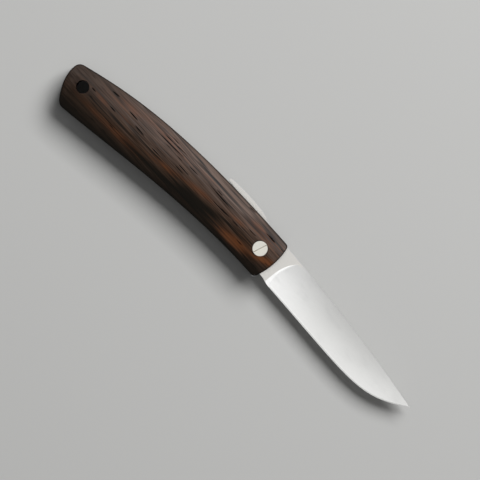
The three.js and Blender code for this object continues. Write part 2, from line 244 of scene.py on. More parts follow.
def carved(name: str, base: Mesh, tools: Sequence[Mesh]) -> Mesh:
    """A mesh with others cut from it. All of them are used up.

    Args:
        name: Name of the result.
        base: Mesh that is worked on.
        tools: Meshes that are cut from it.

    Returns:
        The resulting mesh.
    """
    shape = object_of(base)
    shape.name = name
    cutters = [object_of(tool) for tool in tools]
    for cutter in cutters:
        modifier = shape.modifiers.new("Cut", "BOOLEAN")
        modifier.operation, modifier.solver, modifier.object = "DIFFERENCE", "EXACT", cutter
    result = evaluated(shape)
    for cutter in cutters:
        used = cutter.data
        bpy.data.objects.remove(cutter)
        bpy.data.meshes.remove(used)
    return result


def layered(name: str, rings: Sequence[np.ndarray]) -> Mesh:
    """A closed body through rings of points that lie over one another.

    Args:
        name: Name of the mesh.
        rings: Rows of points in space with as many points each, from the lowest up.

    Returns:
        The mesh, with a flat face over its first and last ring.
    """
    count = len(rings[0])
    faces = [list(range(count))[::-1], [(len(rings) - 1) * count + k for k in range(count)]]
    for i in range(len(rings) - 1):
        low, high = i * count, (i + 1) * count
        for k in range(count):
            after = (k + 1) % count
            faces.append([low + k, low + after, high + after, high + k])
    return mesh_of(name, np.vstack(rings), faces)


def plate(name: str, ring: np.ndarray, low: float, high: float, edge: float = 0) -> Mesh:
    """A flat plate with its outer edges broken.

    Args:
        name: Name of the mesh.
        ring: Its outline, against the clock.
        low: Height of its lower face.
        high: Height of its upper face.
        edge: How far its edges are broken.

    Returns:
        The mesh.
    """
    if not edge:
        return layered(name, [level(ring, low), level(ring, high)])
    small = inset(ring, edge)
    heights = [(small, low), (ring, low + edge), (ring, high - edge), (small, high)]
    return layered(name, [level(points, height) for points, height in heights])


def lathe(name: str, profile: Sequence[Point], steps: int = 96, centre: Point = (0, 0)) -> Mesh:
    """A body of revolution about a vertical axis.

    Args:
        name: Name of the mesh.
        profile: Radius and height of each corner. A profile that starts off the axis closes on itself.
        steps: How many steps go round it.
        centre: Where the axis stands.

    Returns:
        The mesh.
    """
    angles = np.linspace(0, 2 * math.pi, steps, endpoint=False)
    points = np.array(
        [
            [centre[0] + r * math.cos(a), centre[1] + r * math.sin(a), h]
            for r, h in profile
            for a in angles
        ]
    )
    rows = len(profile)
    closes = profile[0][0] > 0
    faces = []
    for i in range(rows if closes else rows - 1):
        low, high = i * steps, (i + 1) % rows * steps
        for k in range(steps):
            after = (k + 1) % steps
            corners = [low + k, low + after, high + after, high + k]
            if not closes and i == 0:
                corners = [0, high + after, high + k]
            elif not closes and i == rows - 2:
                corners = [low + k, low + after, high]
            faces.append(corners)
    return mesh_of(name, points, faces)


def finished(
    mesh: Mesh, finish: Material, body: str, nodes: Sequence[str], angle: float = 28
) -> Object:
    """Shows a finished mesh as a piece of the object.

    Args:
        mesh: The piece, in its place.
        finish: Its material.
        body: The body that it rides on.
        nodes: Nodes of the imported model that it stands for.
        angle: Edges sharper than this, in degrees, stay sharp.

    Returns:
        The piece.
    """
    mesh.materials.clear()
    mesh.materials.append(finish)
    mesh.polygons.foreach_set("material_index", [0] * len(mesh.polygons))
    mesh.polygons.foreach_set("use_smooth", [True] * len(mesh.polygons))
    mesh.set_sharp_from_angle(angle=math.radians(angle))
    made = object_of(mesh)
    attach(made, body)
    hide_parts(*nodes)
    log.info("%s: %d faces, stands for %s", made.name, len(mesh.polygons), ", ".join(nodes))
    return made


# Node trees of materials and of geometry.


class Graph:
    """A node tree under construction, whose nodes are added by short calls."""

    def __init__(self, tree: NodeTree) -> None:
        """Starts on an empty or filled tree."""
        self.tree = tree

    def add(self, kind: str, inputs: dict | None = None, **settings: object) -> Node:
        """Adds a node.

        Args:
            kind: Blender's name for the kind of node.
            inputs: Values or sockets for its inputs, by name or number.
            **settings: Properties of the node.

        Returns:
            The node.
        """
        node = self.tree.nodes.new(kind)
        for key, value in settings.items():
            setattr(node, key, value)
        for key, value in (inputs or {}).items():
            self.feed(node.inputs[key], value)
        return node

    def feed(self, socket: NodeSocket, value: object) -> None:
        """Fills an input.

        Args:
            socket: The input.
            value: A socket to link to it, or a plain value to write into it.
        """
        if isinstance(value, NodeSocket):
            self.tree.links.new(value, socket)
        else:
            socket.default_value = value

    def math(self, operation: str, *values: object, clamp: bool = False) -> NodeSocket:
        """The result of a sum on numbers, held between 0 and 1 when it is clamped."""
        inputs = dict(enumerate(values))
        return self.add("ShaderNodeMath", inputs, operation=operation, use_clamp=clamp).outputs[0]

    def vector(self, x: object, y: object, z: object) -> NodeSocket:
        """A vector from its three parts."""
        return self.add("ShaderNodeCombineXYZ", {0: x, 1: y, 2: z}).outputs[0]

    def span(
        self, value: object, low: float, high: float, start: object = 0, end: object = 1
    ) -> NodeSocket:
        """A value carried smoothly from one range to another, and held at its ends.

        Args:
            value: The value.
            low: Where the first range starts.
            high: Where the first range ends.
            start: What its start is carried to.
            end: What its end is carried to.

        Returns:
            The carried value.
        """
        inputs = {0: value, 1: low, 2: high, 3: start, 4: end}
        return self.add("ShaderNodeMapRange", inputs, interpolation_type="SMOOTHSTEP").outputs[0]


class Shader(Graph):
    """The node tree of one material, with its place on the object in millimetres."""

    def __init__(self, name: str) -> None:
        """Starts a material with a Principled shader.

        Args:
            name: Name of the material.
        """
        self.material = bpy.data.materials.new(name)
        self.material.use_nodes = True
        super().__init__(self.material.node_tree)
        self.surface = self.tree.nodes["Principled BSDF"]
        metres = self.add("ShaderNodeTexCoord").outputs["Object"]
        inputs = {0: metres, "Scale": 1 / MM}
        self.place = self.add("ShaderNodeVectorMath", inputs, operation="SCALE").outputs[0]
        self.x, self.y, self.z = self.add("ShaderNodeSeparateXYZ", {0: self.place}).outputs

    def set(self, **values: object) -> None:
        """Fills the shader's inputs, given by name with underscores for spaces."""
        for name, value in values.items():
            self.feed(self.surface.inputs[name.replace("_", " ")], value)

    def noise(
        self, place: object, scale: float = 1, detail: float = 2, rough: float = 0.5
    ) -> NodeSocket:
        """Noise from 0 to 1 over a place.

        Args:
            place: The place.
            scale: How many swings it makes in one step of the place.
            detail: How many finer layers lie on it.
            rough: How strong each of these is beside the one before.

        Returns:
            The noise.
        """
        inputs = {"Vector": place, "Scale": scale, "Detail": detail, "Roughness": rough}
        return self.add("ShaderNodeTexNoise", inputs).outputs[0]

    def blend(self, share: object, first: object, second: object, kind: str = "MIX") -> NodeSocket:
        """Two colours mixed by a share.

        Args:
            share: How much of the second colour is taken.
            first: The first colour.
            second: The second colour.
            kind: How the second goes on the first, as Blender names it.

        Returns:
            The mixed colour.
        """
        factor, colour_a, colour_b, result = 0, 6, 7, 2
        inputs = {factor: share, colour_a: first, colour_b: second}
        return self.add("ShaderNodeMix", inputs, data_type="RGBA", blend_type=kind).outputs[result]

    def bump(self, height: object, depth: float) -> None:
        """Gives the surface relief of a depth in millimetres."""
        node = self.add("ShaderNodeBump", {"Height": height, "Distance": depth * MM})
        self.set(Normal=node.outputs[0])


def colour(red: float, green: float, blue: float) -> Colour:
    """A colour for a socket."""
    return (red, green, blue, 1)


# Wood.


@dataclass(frozen=True)
class Streak:
    """A band of other colour through the whole depth of the wood, in millimetres and degrees."""

    x: float
    y: float
    length: float
    width: float
    slope: float
    strength: float = 1


@dataclass(frozen=True)
class Figure:
    """Size of one layer of the wood's figure in millimetres, and how far it is broken up."""

    length: float
    width: float
    depth: float
    detail: float = 1


class WoodShader(Shader):
    """The node tree of a piece of wood, with its place across and through the grain."""

    def __init__(self, name: str, seed: float, slope: float) -> None:
        """Starts a material whose grain follows the handle and wanders a little.

        Args:
            name: Name of the material.
            seed: Sets the piece apart from others.
            slope: How far the grain climbs along X.
        """
        super().__init__(name)
        x, y = self.math("MULTIPLY", self.x, 0.03), self.math("MULTIPLY", self.y, 0.1)
        wander = self.math("MULTIPLY", self.noise(self.vector(x, y, seed), 1, 1), 1.6)
        straight = self.math("SUBTRACT", self.y, self.math("MULTIPLY", self.x, slope))
        self.across = self.math("ADD", straight, wander)
        self.through = self.math("ADD", self.z, seed)

    def drawn(self, size: Figure) -> NodeSocket:
        """The place in the grain, in steps of a layer's size."""
        parts = zip((self.x, self.across, self.through), (size.length, size.width, size.depth))
        return self.vector(*(self.math("DIVIDE", part, step) for part, step in parts))

    def figure(self, size: Figure) -> NodeSocket:
        """Noise from 0 to 1 that is drawn out along the grain."""
        return self.noise(self.drawn(size), 1, size.detail, 0.55)

    def held(self, name: str) -> NodeSocket:
        """A value that the points of the mesh hold."""
        return self.add("ShaderNodeAttribute", attribute_name=name).outputs["Fac"]


@dataclass(frozen=True)
class WoodFinish:
    """Oiled dark wood with open pores and figure that follows the handle.

    Its colour holds painted shade along the belly, the rims and the butt, and a painted sheen along the
    back. Fields whose names end in "_at" are places along X, between which one tone gives way to the
    next.
    """

    name: str
    warm: tuple[Streak, ...]
    dark: tuple[Streak, ...]
    # Pale grey streaks, partly pale grain and partly painted sheen.
    light: tuple[Streak, ...] = ()
    open_pores: tuple[Streak, ...] = ()
    seed: float = 0
    grain_slope: float = 0.085
    bands: Figure = Figure(60, 3.2, 2, 2)
    fine: Figure = Figure(24, 0.75, 2, 3)
    fibre: Figure = Figure(6, 0.2, 0.6, 2)
    lines: Figure = Figure(15, 0.4, 1)
    cells: Figure = Figure(6.5, 0.55, 1.5)
    cell_walls: Figure = Figure(1.6, 0.13, 0.5)
    raggedness: float = 1.3
    plain_at: tuple[float, float] = (-94, -60)
    lively_at: tuple[float, float] = (-94, -46)
    quiet_at: tuple[float, float] = (-5, 4)
    painted_sheen_from_belly: tuple[float, float] = (6, 17)
    belly_from: float = -1.5
    belly_depth: float = 14.5
    belly_painted_shade: float = 0.03
    butt_corner_at: tuple[float, float] = (-98, -89)
    butt_at: tuple[float, float] = (-96, -58)
    rim_depth: float = 0.7
    rim_painted_shade: float = 0.15
    black: Colour = colour(0.0045, 0.004, 0.0029)
    brown: Colour = colour(0.054, 0.0285, 0.0172)
    pale: Colour = colour(0.097, 0.0575, 0.038)
    grey: Colour = colour(0.145, 0.098, 0.077)
    red: Colour = colour(0.165, 0.055, 0.019)
    painted_sheen: Colour = colour(0.043, 0.043, 0.044)
    pit: Colour = colour(0.003, 0.002, 0.0015)
    roughness: float = 0.43
    gloss: float = 0.06
    relief: float = 0.12

    def mask(self, s: WoodShader, streaks: Sequence[Streak]) -> NodeSocket:
        """How strongly any of some streaks shows at a place.

        Args:
            s: The shader of the material.
            streaks: The streaks. There is at least one.

        Returns:
            Their strengths at the place, added up.
        """
        total: object = 0.0
        for streak in streaks:
            inputs = {
                "Vector": s.place,
                "Location": (streak.x, streak.y, 0),
                "Rotation": (0, 0, math.radians(streak.slope)),
                "Scale": (streak.length / 2, streak.width / 2, STREAK_DEPTH),
            }
            place = s.add("ShaderNodeMapping", inputs, vector_type="TEXTURE").outputs[0]
            square = s.add("ShaderNodeVectorMath", {0: place, 1: place}, operation="DOT_PRODUCT")
            near = s.math("EXPONENT", s.math("MULTIPLY", square.outputs["Value"], -1))
            total = s.math("MULTIPLY_ADD", near, streak.strength, total)
        return total

    def grain(self, s: WoodShader, fine: NodeSocket, lines: NodeSocket) -> NodeSocket:
        """Colour of the bands and lines, which are quieter at the butt and by the pivot.

        Args:
            s: The shader of the material.
            fine: Noise of the fine figure.
            lines: Noise of the grain lines.

        Returns:
            The colour.
        """
        bands = s.math("MULTIPLY", s.figure(self.bands), 0.45)
        tone = s.math("ADD", bands, s.math("MULTIPLY", fine, 0.55))
        plain = s.span(s.x, *self.plain_at, 0.75, 1)
        shade = s.blend(s.math("MULTIPLY", s.span(tone, 0.47, 0.33), plain), self.brown, self.black)
        shade = s.blend(s.span(tone, 0.45, 0.64), shade, self.pale)
        behind = s.span(s.x, *self.lively_at, 0.35, 1.15)
        lively = s.math("MULTIPLY", behind, s.span(s.x, *self.quiet_at, 1, 0.75))
        bright = s.math("MULTIPLY", s.span(lines, 0.54, 0.7, 0, 0.5), lively)
        dim = s.math("MULTIPLY", s.span(lines, 0.42, 0.3, 0, 0.95), lively)
        return s.blend(dim, s.blend(bright, shade, self.grey), self.black)

    def pores(self, s: WoodShader, fibre: NodeSocket) -> NodeSocket:
        """How open the wood's surface is: short cells here and there, and the placed pores.

        Args:
            s: The shader of the material.
            fibre: Noise of the fibres.

        Returns:
            1 in a pore, 0 on closed wood.
        """
        cells = s.add("ShaderNodeTexVoronoi", {"Vector": s.drawn(self.cells), "Scale": 1.0}).outputs
        open_here = s.add("ShaderNodeSeparateColor", {0: cells["Color"]}).outputs[0]
        inner = s.math("SUBTRACT", cells["Distance"], 0.25)
        wall = s.math("MULTIPLY_ADD", s.figure(self.cell_walls), 0.5, inner)
        pore = s.math("MULTIPLY", s.span(wall, 0.18, 0.34, 1, 0), s.span(open_here, 0.9, 0.93))
        if not self.open_pores:
            return pore
        ragged = s.span(fibre, 0.3, 0.5, 0.4, 1.1)
        placed = s.math("MULTIPLY", self.mask(s, self.open_pores), ragged)
        return s.math("MAXIMUM", pore, s.span(placed, 0.22, 0.62))

    def unshaded_share(self, s: WoodShader, from_belly: NodeSocket, red: NodeSocket) -> NodeSocket:
        """How much of the wood's colour is left under the painted shade along the belly, the rims and
        the butt.

        Args:
            s: The shader of the material.
            from_belly: Distance from the belly.
            red: How red the wood is.

        Returns:
            1 where no shade is painted, 0 where it is painted black.
        """
        # Painted shade: darker towards the belly (less so at the butt corner), at the rims and towards
        # the butt.
        lowest = s.span(s.x, *self.butt_corner_at, 0.3, self.belly_painted_shade)
        belly = s.span(from_belly, self.belly_from, self.belly_depth, lowest, 1)
        rim = s.span(s.held("from_rim"), 0, self.rim_depth, self.rim_painted_shade, 1)
        butt = s.span(s.x, *self.butt_at, 0.46, 1)
        share = s.math("MULTIPLY", s.math("MULTIPLY", belly, rim), butt)
        return s.math("MAXIMUM", share, s.math("MULTIPLY", s.math("MULTIPLY", red, rim), 0.8))

    def material(self) -> Material:
        """Builds the material.

        Returns:
            The material.
        """
        s = WoodShader(self.name, self.seed, self.grain_slope)
        fine, fibre, lines = s.figure(self.fine), s.figure(self.fibre), s.figure(self.lines)
        shade = self.grain(s, fine, lines)
        # Pale grey streaks: partly pale grain, partly painted sheen.
        if self.light:
            threads = s.span(fine, 0.42, 0.62)
            light = s.math("MULTIPLY", self.mask(s, self.light), threads, clamp=True)
            shade = s.blend(light, shade, self.grey)

        # Red and black streaks with edges torn along the grain, and dark fibres over all.
        ragged = s.math("MULTIPLY", s.math("SUBTRACT", fine, 0.5), self.raggedness)
        red = s.span(s.math("ADD", self.mask(s, self.warm), ragged), 0.1, 1.1)
        shade = s.blend(s.math("MULTIPLY", red, s.span(fibre, 0.3, 0.6, 0.55, 0.95)), shade, self.red)
        night = s.span(s.math("SUBTRACT", self.mask(s, self.dark), ragged), 0.15, 0.85, 0, 0.9)
        shade = s.blend(night, shade, self.black)
        shade = s.blend(s.span(fibre, 0.5, 0.75, 0, 0.4), shade, self.black)

        # The painted sheen along the back, the pores, and the painted shade along the belly, the rims
        # and the butt.
        from_belly = s.held("from_belly")
        broken = s.span(lines, 0.38, 0.62, 0.75, 1.3)
        # Painted sheen: a grey added towards the back, broken up by the grain lines.
        painted_sheen_share = s.math("MULTIPLY", s.span(from_belly, *self.painted_sheen_from_belly), broken)
        shade = s.blend(painted_sheen_share, shade, self.painted_sheen, "ADD")
        pore = self.pores(s, fibre)
        shade = s.blend(pore, shade, self.pit)
        shade = s.blend(self.unshaded_share(s, from_belly, red), self.black, shade)

        rough = s.math("ADD", s.math("MULTIPLY", fine, 0.12), self.roughness)
        s.set(Base_Color=shade, Roughness=rough, Specular_IOR_Level=self.gloss)
        s.bump(s.math("SUBTRACT", s.math("MULTIPLY", fibre, 0.12), pore), self.relief)
        return s.material


def upper_wood() -> WoodFinish:
    """The upper scale's wood, whose streaks and pores are each set in their place.

    Returns:
        The finish.
    """
    return WoodFinish(
        "upper scale wood",
        warm=(
            Streak(-7.6, -6, 23, 5.2, 13),
            Streak(4.8, -1.4, 9, 2.6, 21),
            Streak(1, 4.6, 15, 5, 8, 0.4),
            Streak(-4.5, 4.7, 14, 3, 7, 0.5),
            Streak(-13.5, -0.2, 9, 2.2, 10, 0.55),
            Streak(-54, -1.6, 12, 3, 8, 0.35),
            Streak(-32.5, 1.8, 13, 2, 11, 0.5),
            Streak(-71, -5.9, 11, 1.8, 4, 0.45),
            Streak(-63, -15, 20, 2.6, 5, 0.65),
            Streak(-31.5, -4.7, 18, 2.4, 11, 0.7),
            Streak(-46, -9, 17, 2.4, 12, 0.7),
            Streak(-66, -3, 34, 5, 13, 0.4),
            Streak(-77, -17.6, 40, 3, 5, 0.5),
            Streak(-81.5, -12.6, 7, 2, 5, 0.6),
            Streak(-70, -10, 8, 2, 5, 0.4),
            Streak(-79, -9.2, 20, 5, 12, 0.38),
            Streak(-45.5, -1.6, 13, 4, 8, 0.34),
            Streak(-8, 3.7, 11, 3, 11, 0.4),
            Streak(6, 0.4, 6, 3, 16, 0.3),
        ),
        dark=(
            Streak(-31, -9, 30, 6, 10),
            Streak(-12.5, -2.9, 15, 1.5, 13, 0.6),
            Streak(-9, 3.1, 13, 1.5, 7, 0.6),
            Streak(-22, -5.4, 12, 2.2, 7, 0.35),
            Streak(-62, -10.4, 16, 2.4, 3, 0.6),
            Streak(-59, -0.8, 13, 1.6, 10, 0.6),
            Streak(4.2, -5.8, 8, 1.9, 12, 0.65),
            Streak(-0.5, 6.2, 15, 4, 5, 0.6),
            Streak(-72.5, -13, 10, 1.8, 5, 0.6),
            Streak(-56, -14.5, 30, 2.4, 7, 0.8),
            Streak(-83, -15, 16, 0.8, 5, 0.7),
        ),
        # Pale grey streaks, partly pale grain and partly painted sheen.
        light=(
            Streak(-51, -0.4, 34, 2.6, 10, 0.8),
            Streak(-34, 2.4, 14, 2.4, 12, 0.9),
            Streak(-21, 3.2, 20, 1.8, 12, 1),
            Streak(-47, -3, 14, 1.6, 8, 0.6),
            Streak(-36, 2.2, 9, 1.4, 11, 0.7),
            Streak(-94.3, -18, 15, 3, -65, 0.6),
            Streak(-84, -11.4, 8, 3, 8, 0.2),
            Streak(2, -5.6, 11, 3, 8, 0.6),
            Streak(-14.8, 3.9, 8, 3, 15, 0.7),
            Streak(-27, 5.4, 28, 0.9, 7.5, 0.6),
            Streak(-35.5, 2.4, 12, 1.8, 4, 1.3),
            Streak(-22, 3.7, 13, 1.2, 4, 0.8),
            Streak(4.5, 0.6, 5, 3, 12, 0.6),
        ),
        open_pores=(
            Streak(-80.2, -6.8, 3.4, 0.5, 12),
            Streak(-69.7, -6.7, 5, 0.5, 3),
            Streak(-63.8, -8.4, 5.4, 0.5, 3),
            Streak(-76.5, -11.4, 3, 0.5, 4),
            Streak(-86.8, -12.5, 2.2, 0.5, 4),
            Streak(-50.8, -0.8, 13, 0.4, 8.5, 0.9),
            Streak(-52, -2.3, 15, 0.4, 7, 0.8),
            Streak(-53, -8.6, 5.2, 0.45, 4),
            Streak(-39, -1.6, 5, 0.4, 5, 0.9),
            Streak(-41.5, -4.4, 5.6, 0.5, 5),
            Streak(-25.5, 0.2, 12.5, 0.45, 2.5),
            Streak(-20.7, -2.3, 9, 0.5, 7),
            Streak(-0.9, 5.6, 5.6, 0.5, 4),
            Streak(-76, -15.7, 24, 0.45, 4.5, 0.6),
            Streak(-42.7, -5.7, 5, 0.4, 4, 0.8),
            Streak(-13, -9.7, 11, 0.5, 3, 0.9),
        ),
    )


def lower_wood() -> WoodFinish:
    """The lower scale's wood, cut from another place and with streaks of its own.

    Returns:
        The finish.
    """
    return WoodFinish(
        "lower scale wood",
        warm=(Streak(-55, -8, 30, 2.5, 9), Streak(-12, 2, 20, 2, 7, 0.8)),
        dark=(Streak(-22, -4, 32, 3.5, 8), Streak(-75, -15, 30, 3, 6, 0.8)),
        seed=23,
    )


# Metals.


@dataclass(frozen=True)
class MetalFinish:
    """Satin metal, drawn over with fine lines in one direction."""

    name: str
    tint: Colour
    roughness: float
    lines: tuple[float, float, float]
    unevenness: float = 0.05
    relief: float = 0.002
    cloud_scale: float = 0.12

    def dress(self, s: Shader) -> None:
        """Writes the finish into a shader.

        Args:
            s: The shader of the material.
        """
        parts = zip((s.x, s.y, s.z), self.lines)
        lines = s.noise(s.vector(*(s.math("MULTIPLY", part, rate) for part, rate in parts)), 1, 3, 0.6)
        cloud = s.noise(s.vector(s.x, s.y, s.z), self.cloud_scale)
        uneven = (s.math("MULTIPLY", noise, self.unevenness) for noise in (lines, cloud))
        rough = s.math("ADD", s.math("ADD", *uneven), self.roughness - self.unevenness)
        s.set(Base_Color=self.tint, Metallic=1.0, Roughness=rough)
        s.bump(lines, self.relief)

    def material(self) -> Material:
        """Builds the material.

        Returns:
            The material.
        """
        s = Shader(self.name)
        self.dress(s)
        return s.material


@dataclass(frozen=True)
class SlottedFinish(MetalFinish):
    """Satin metal with painted shade in a slot below its top."""

    top: float = 13.1
    unshaded_depth: float = 0.12
    shaded_depth: float = 0.5
    slot_depth: float = 1.5
    head_radius_squared: float = 8.1
    slot_shade: Colour = colour(0.6, 0.57, 0.5)

    def dress(self, s: Shader) -> None:
        """Writes the finish into a shader, with painted shade in the slot.

        Args:
            s: The shader of the material.
        """
        super().dress(s)
        # Painted shade in the slot: a duller, non-metallic colour below the head's top.
        unshaded = s.span(s.z, self.top - self.shaded_depth, self.top - self.unshaded_depth)
        square = s.math("ADD", s.math("POWER", s.x, 2.0), s.math("POWER", s.y, 2.0))
        near = s.math("LESS_THAN", square, self.head_radius_squared)
        slot = s.math("MULTIPLY", near, s.math("GREATER_THAN", s.z, self.top - self.slot_depth))
        share = s.math("SUBTRACT", 1.0, s.math("MULTIPLY", slot, s.math("SUBTRACT", 1.0, unshaded)))
        s.set(Base_Color=s.blend(share, self.slot_shade, self.tint), Metallic=share)


@dataclass(frozen=True)
class BoredFinish(MetalFinish):
    """Satin metal with painted shade in the lanyard hole's bore."""

    bore: tuple[float, float] = LANYARD_PLACE
    radius: float = 2.62
    bore_shade: Colour = colour(0.03, 0.028, 0.026)

    def dress(self, s: Shader) -> None:
        """Writes the finish into a shader, with painted shade within the bore.

        Args:
            s: The shader of the material.
        """
        super().dress(s)
        squares = (
            s.math("POWER", s.math("SUBTRACT", part, at), 2.0)
            for part, at in zip((s.x, s.y), self.bore)
        )
        # Painted shade: a dark, non-metallic colour within the bore.
        outside = s.math("GREATER_THAN", s.math("SQRT", s.math("ADD", *squares)), self.radius)
        s.set(Base_Color=s.blend(outside, self.bore_shade, self.tint), Metallic=outside)


@dataclass(frozen=True)
class GroundFinish(MetalFinish):
    """Satin metal, brightest by the plunge, with flats that are warmer than its ground faces.

    Its ground faces hold a painted highlight by the plunge and painted shade towards the tip. Fields
    whose names end in "_at" are places along X, between which one tint gives way to the next.
    """

    middle: float = 6.55
    full: float = 1.2
    flat_level: tuple[float, float] = (0.02, 0.005)
    flat_end_at: tuple[float, float] = (13.5, 17)
    plunge_highlight_end_at: tuple[float, float] = (7, 40)
    tip_shade_start_at: tuple[float, float] = (68, 84)
    flat: Colour = colour(0.99, 0.965, 0.92)
    painted_highlight_by_plunge: Colour = colour(0.94, 0.94, 0.93)
    painted_shade_by_tip: Colour = colour(0.71, 0.71, 0.695)
    cloud: Colour = colour(0.5, 0.5, 0.5)
    cloudiness: float = 0.15
    cloud_seed: float = 4.0

    def dress(self, s: Shader) -> None:
        """Writes the finish into a shader, with the flats set apart by their level.

        Args:
            s: The shader of the material.
        """
        super().dress(s)
        off = s.math("ABSOLUTE", s.math("SUBTRACT", s.z, self.middle))
        at_full = s.span(off, self.full - self.flat_level[0], self.full - self.flat_level[1])
        flat = s.math("MULTIPLY", at_full, s.span(s.x, *self.flat_end_at, 1, 0))
        # Painted highlight by the plunge and painted shade towards the tip, over the ground faces'
        # tint.
        ground = s.blend(s.span(s.x, *self.plunge_highlight_end_at), self.painted_highlight_by_plunge, self.tint)
        ground = s.blend(s.span(s.x, *self.tip_shade_start_at), ground, self.painted_shade_by_tip)
        place = s.vector(s.math("MULTIPLY", s.x, 0.07), s.math("MULTIPLY", s.y, 0.16), self.cloud_seed)
        cloud = s.noise(place, 1, 3, 0.55)
        ground = s.blend(s.span(cloud, 0.3, 0.5, self.cloudiness, 0), ground, self.cloud)
        s.set(Base_Color=s.blend(flat, ground, self.flat))


# The handle.


@dataclass
class Layers:
    """Heights of the knife's layers, from the lower scale up."""

    scale: float = 4.2
    liner: float = 0.8
    blade: float = 2.4
    washer: float = 0.3
    washer_play: float = 0.05

    @property
    def slot(self) -> float:
        """Height of the slot that the blade runs in."""
        return self.blade + 2 * (self.washer + self.washer_play)

    @property
    def floor(self) -> float:
        """Level of the slot's floor."""
        return self.scale + self.liner

    @property
    def ceiling(self) -> float:
        """Level of the slot's ceiling."""
        return self.floor + self.slot

    @property
    def middle(self) -> float:
        """Level of the blade's middle."""
        return self.floor + self.slot / 2

    @property
    def top(self) -> float:
        """Level of the upper scale's flat."""
        return self.ceiling + self.floor


@dataclass
class Outline:
    """The handle's outline seen from above: its back, butt, belly and front end."""

    front: float = 7.9
    rear: float = 98.7
    front_back: float = 9.05
    front_belly: float = 8.75
    front_radius: float = 28
    front_level: float = -1.1
    butt_back: float = 10.4
    butt_belly: float = 26.594
    butt_slant: float = 7.6
    butt_bulge: float = 5.1
    butt_inset: float = 0.4
    back_slopes: tuple[float, float] = (3.2, 21.3)
    back_holds: tuple[float, float] = (0.58, 0.2)
    belly_slopes: tuple[float, float] = (2.8, 11.3)
    belly_holds: tuple[float, float] = (0.344, 0.224)
    cuts: tuple[float, float, float, float] = (2.1, 1.9, 0.9, 1.3)
    long_steps: int = 600
    short_steps: int = 200
    corner_steps: int = 16

    @property
    def length(self) -> float:
        """Length of the handle."""
        return self.front + self.rear

    def on_front(self, height: float) -> tuple[float, float]:
        """The place on the front end at a height along Y."""
        centre = self.front - self.front_radius
        return (centre + math.sqrt(self.front_radius**2 - (height - self.front_level) ** 2), height)

    def curves(self) -> list[np.ndarray]:
        """The four curves before their corners are rounded.

        Returns:
            The points of the back, butt, belly and front end, against the clock.
        """
        top, low = self.on_front(self.front_back), self.on_front(-self.front_belly)
        butt_top = (self.butt_inset - self.rear, -self.butt_back)
        butt_low = (butt_top[0] + self.butt_slant, -self.butt_belly)
        holds = [self.length * hold for hold in (*self.back_holds, *self.belly_holds)]
        back = [
            top,
            turned(top, 180 + self.back_slopes[0], holds[0]),
            turned(butt_top, self.back_slopes[1], holds[1]),
            butt_top,
        ]
        middle = (np.array(butt_top) + butt_low) / 2
        butt = [butt_top, (middle[0] - self.butt_bulge, middle[1]), butt_low]
        belly = [
            butt_low,
            turned(butt_low, self.belly_slopes[1], holds[3]),
            turned(low, 180 + self.belly_slopes[0], holds[2]),
            low,
        ]
        heights = np.linspace(-self.front_belly, self.front_back, self.short_steps + 1)
        front = np.array([self.on_front(height) for height in heights])
        return [
            bezier(back, self.long_steps),
            bezier(butt, self.short_steps),
            bezier(belly, self.long_steps),
            front,
        ]

    def sides(self, spacing: float = 0.6) -> list[np.ndarray]:
        """Each side from the middle of one rounded corner to the middle of the next.

        Args:
            spacing: Distance between points along the side.

        Returns:
            The points of the back, butt, belly and front end.
        """
        curves, half = self.curves(), self.corner_steps // 2
        corners = []
        for i, curve in enumerate(curves):
            after = curves[(i + 1) % 4]
            start = along(curve, np.array([reach(curve)[-1] - self.cuts[i]]))[0]
            end = along(after, np.array([self.cuts[i]]))[0]
            corners.append(bezier([start, after[0], end], self.corner_steps))
        rows = []
        for i, curve in enumerate(curves):
            end = reach(curve)[-1] - self.cuts[i]
            places = np.linspace(self.cuts[i - 1], end, math.ceil(end / spacing) + 1)[1:-1]
            row = [corners[i - 1][half:], along(curve, places), corners[i][: half + 1]]
            rows.append(np.vstack(row))
        return rows

    def ring(self, spacing: float = 0.6) -> np.ndarray:
        """The whole outline as one closed ring, against the clock."""
        return np.vstack([side[:-1] for side in self.sides(spacing)])


@dataclass
class Stations:
    """Places and sizes of the pivot, the pins and the lanyard hole."""

    pivot_head: float = 5.9
    pivot_head_height: float = 1.6
    head_clearance: float = 0.1
    barrel: float = 4
    play: float = 0.05
    screw: float = 2.4
    screw_play: float = 0.1
    barrel_floor: float = 1
    end_gap: float = 0.3
    washer: float = 9
    frame_pin: float = 2
    stop_pin: float = 2.5
    pin_embed: float = 1.6
    lanyard: float = 5.1
    lanyard_place: tuple[float, float] = LANYARD_PLACE

    def box_centre(self, node: str) -> tuple[float, float]:
        """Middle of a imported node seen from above.

        Args:
            node: Name of the node.

        Returns:
            Its place along X and Y.
        """
        low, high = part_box(node)
        middle = (low + high) / 2 / MM
        return (middle.x, middle.y)

    def pins(self) -> dict[str, tuple[float, tuple[float, float]]]:
        """Diameter and place of the stop pin and each frame pin, by their nodes' names.

        Returns:
            The stop pin first, then the frame pins from front to rear.
        """
        sizes = {"stop_pin": self.stop_pin}
        sizes |= {f"frame_pin_{place}": self.frame_pin for place in PIN_PLACES}
        return {node: (size, self.box_centre(node)) for node, size in sizes.items()}


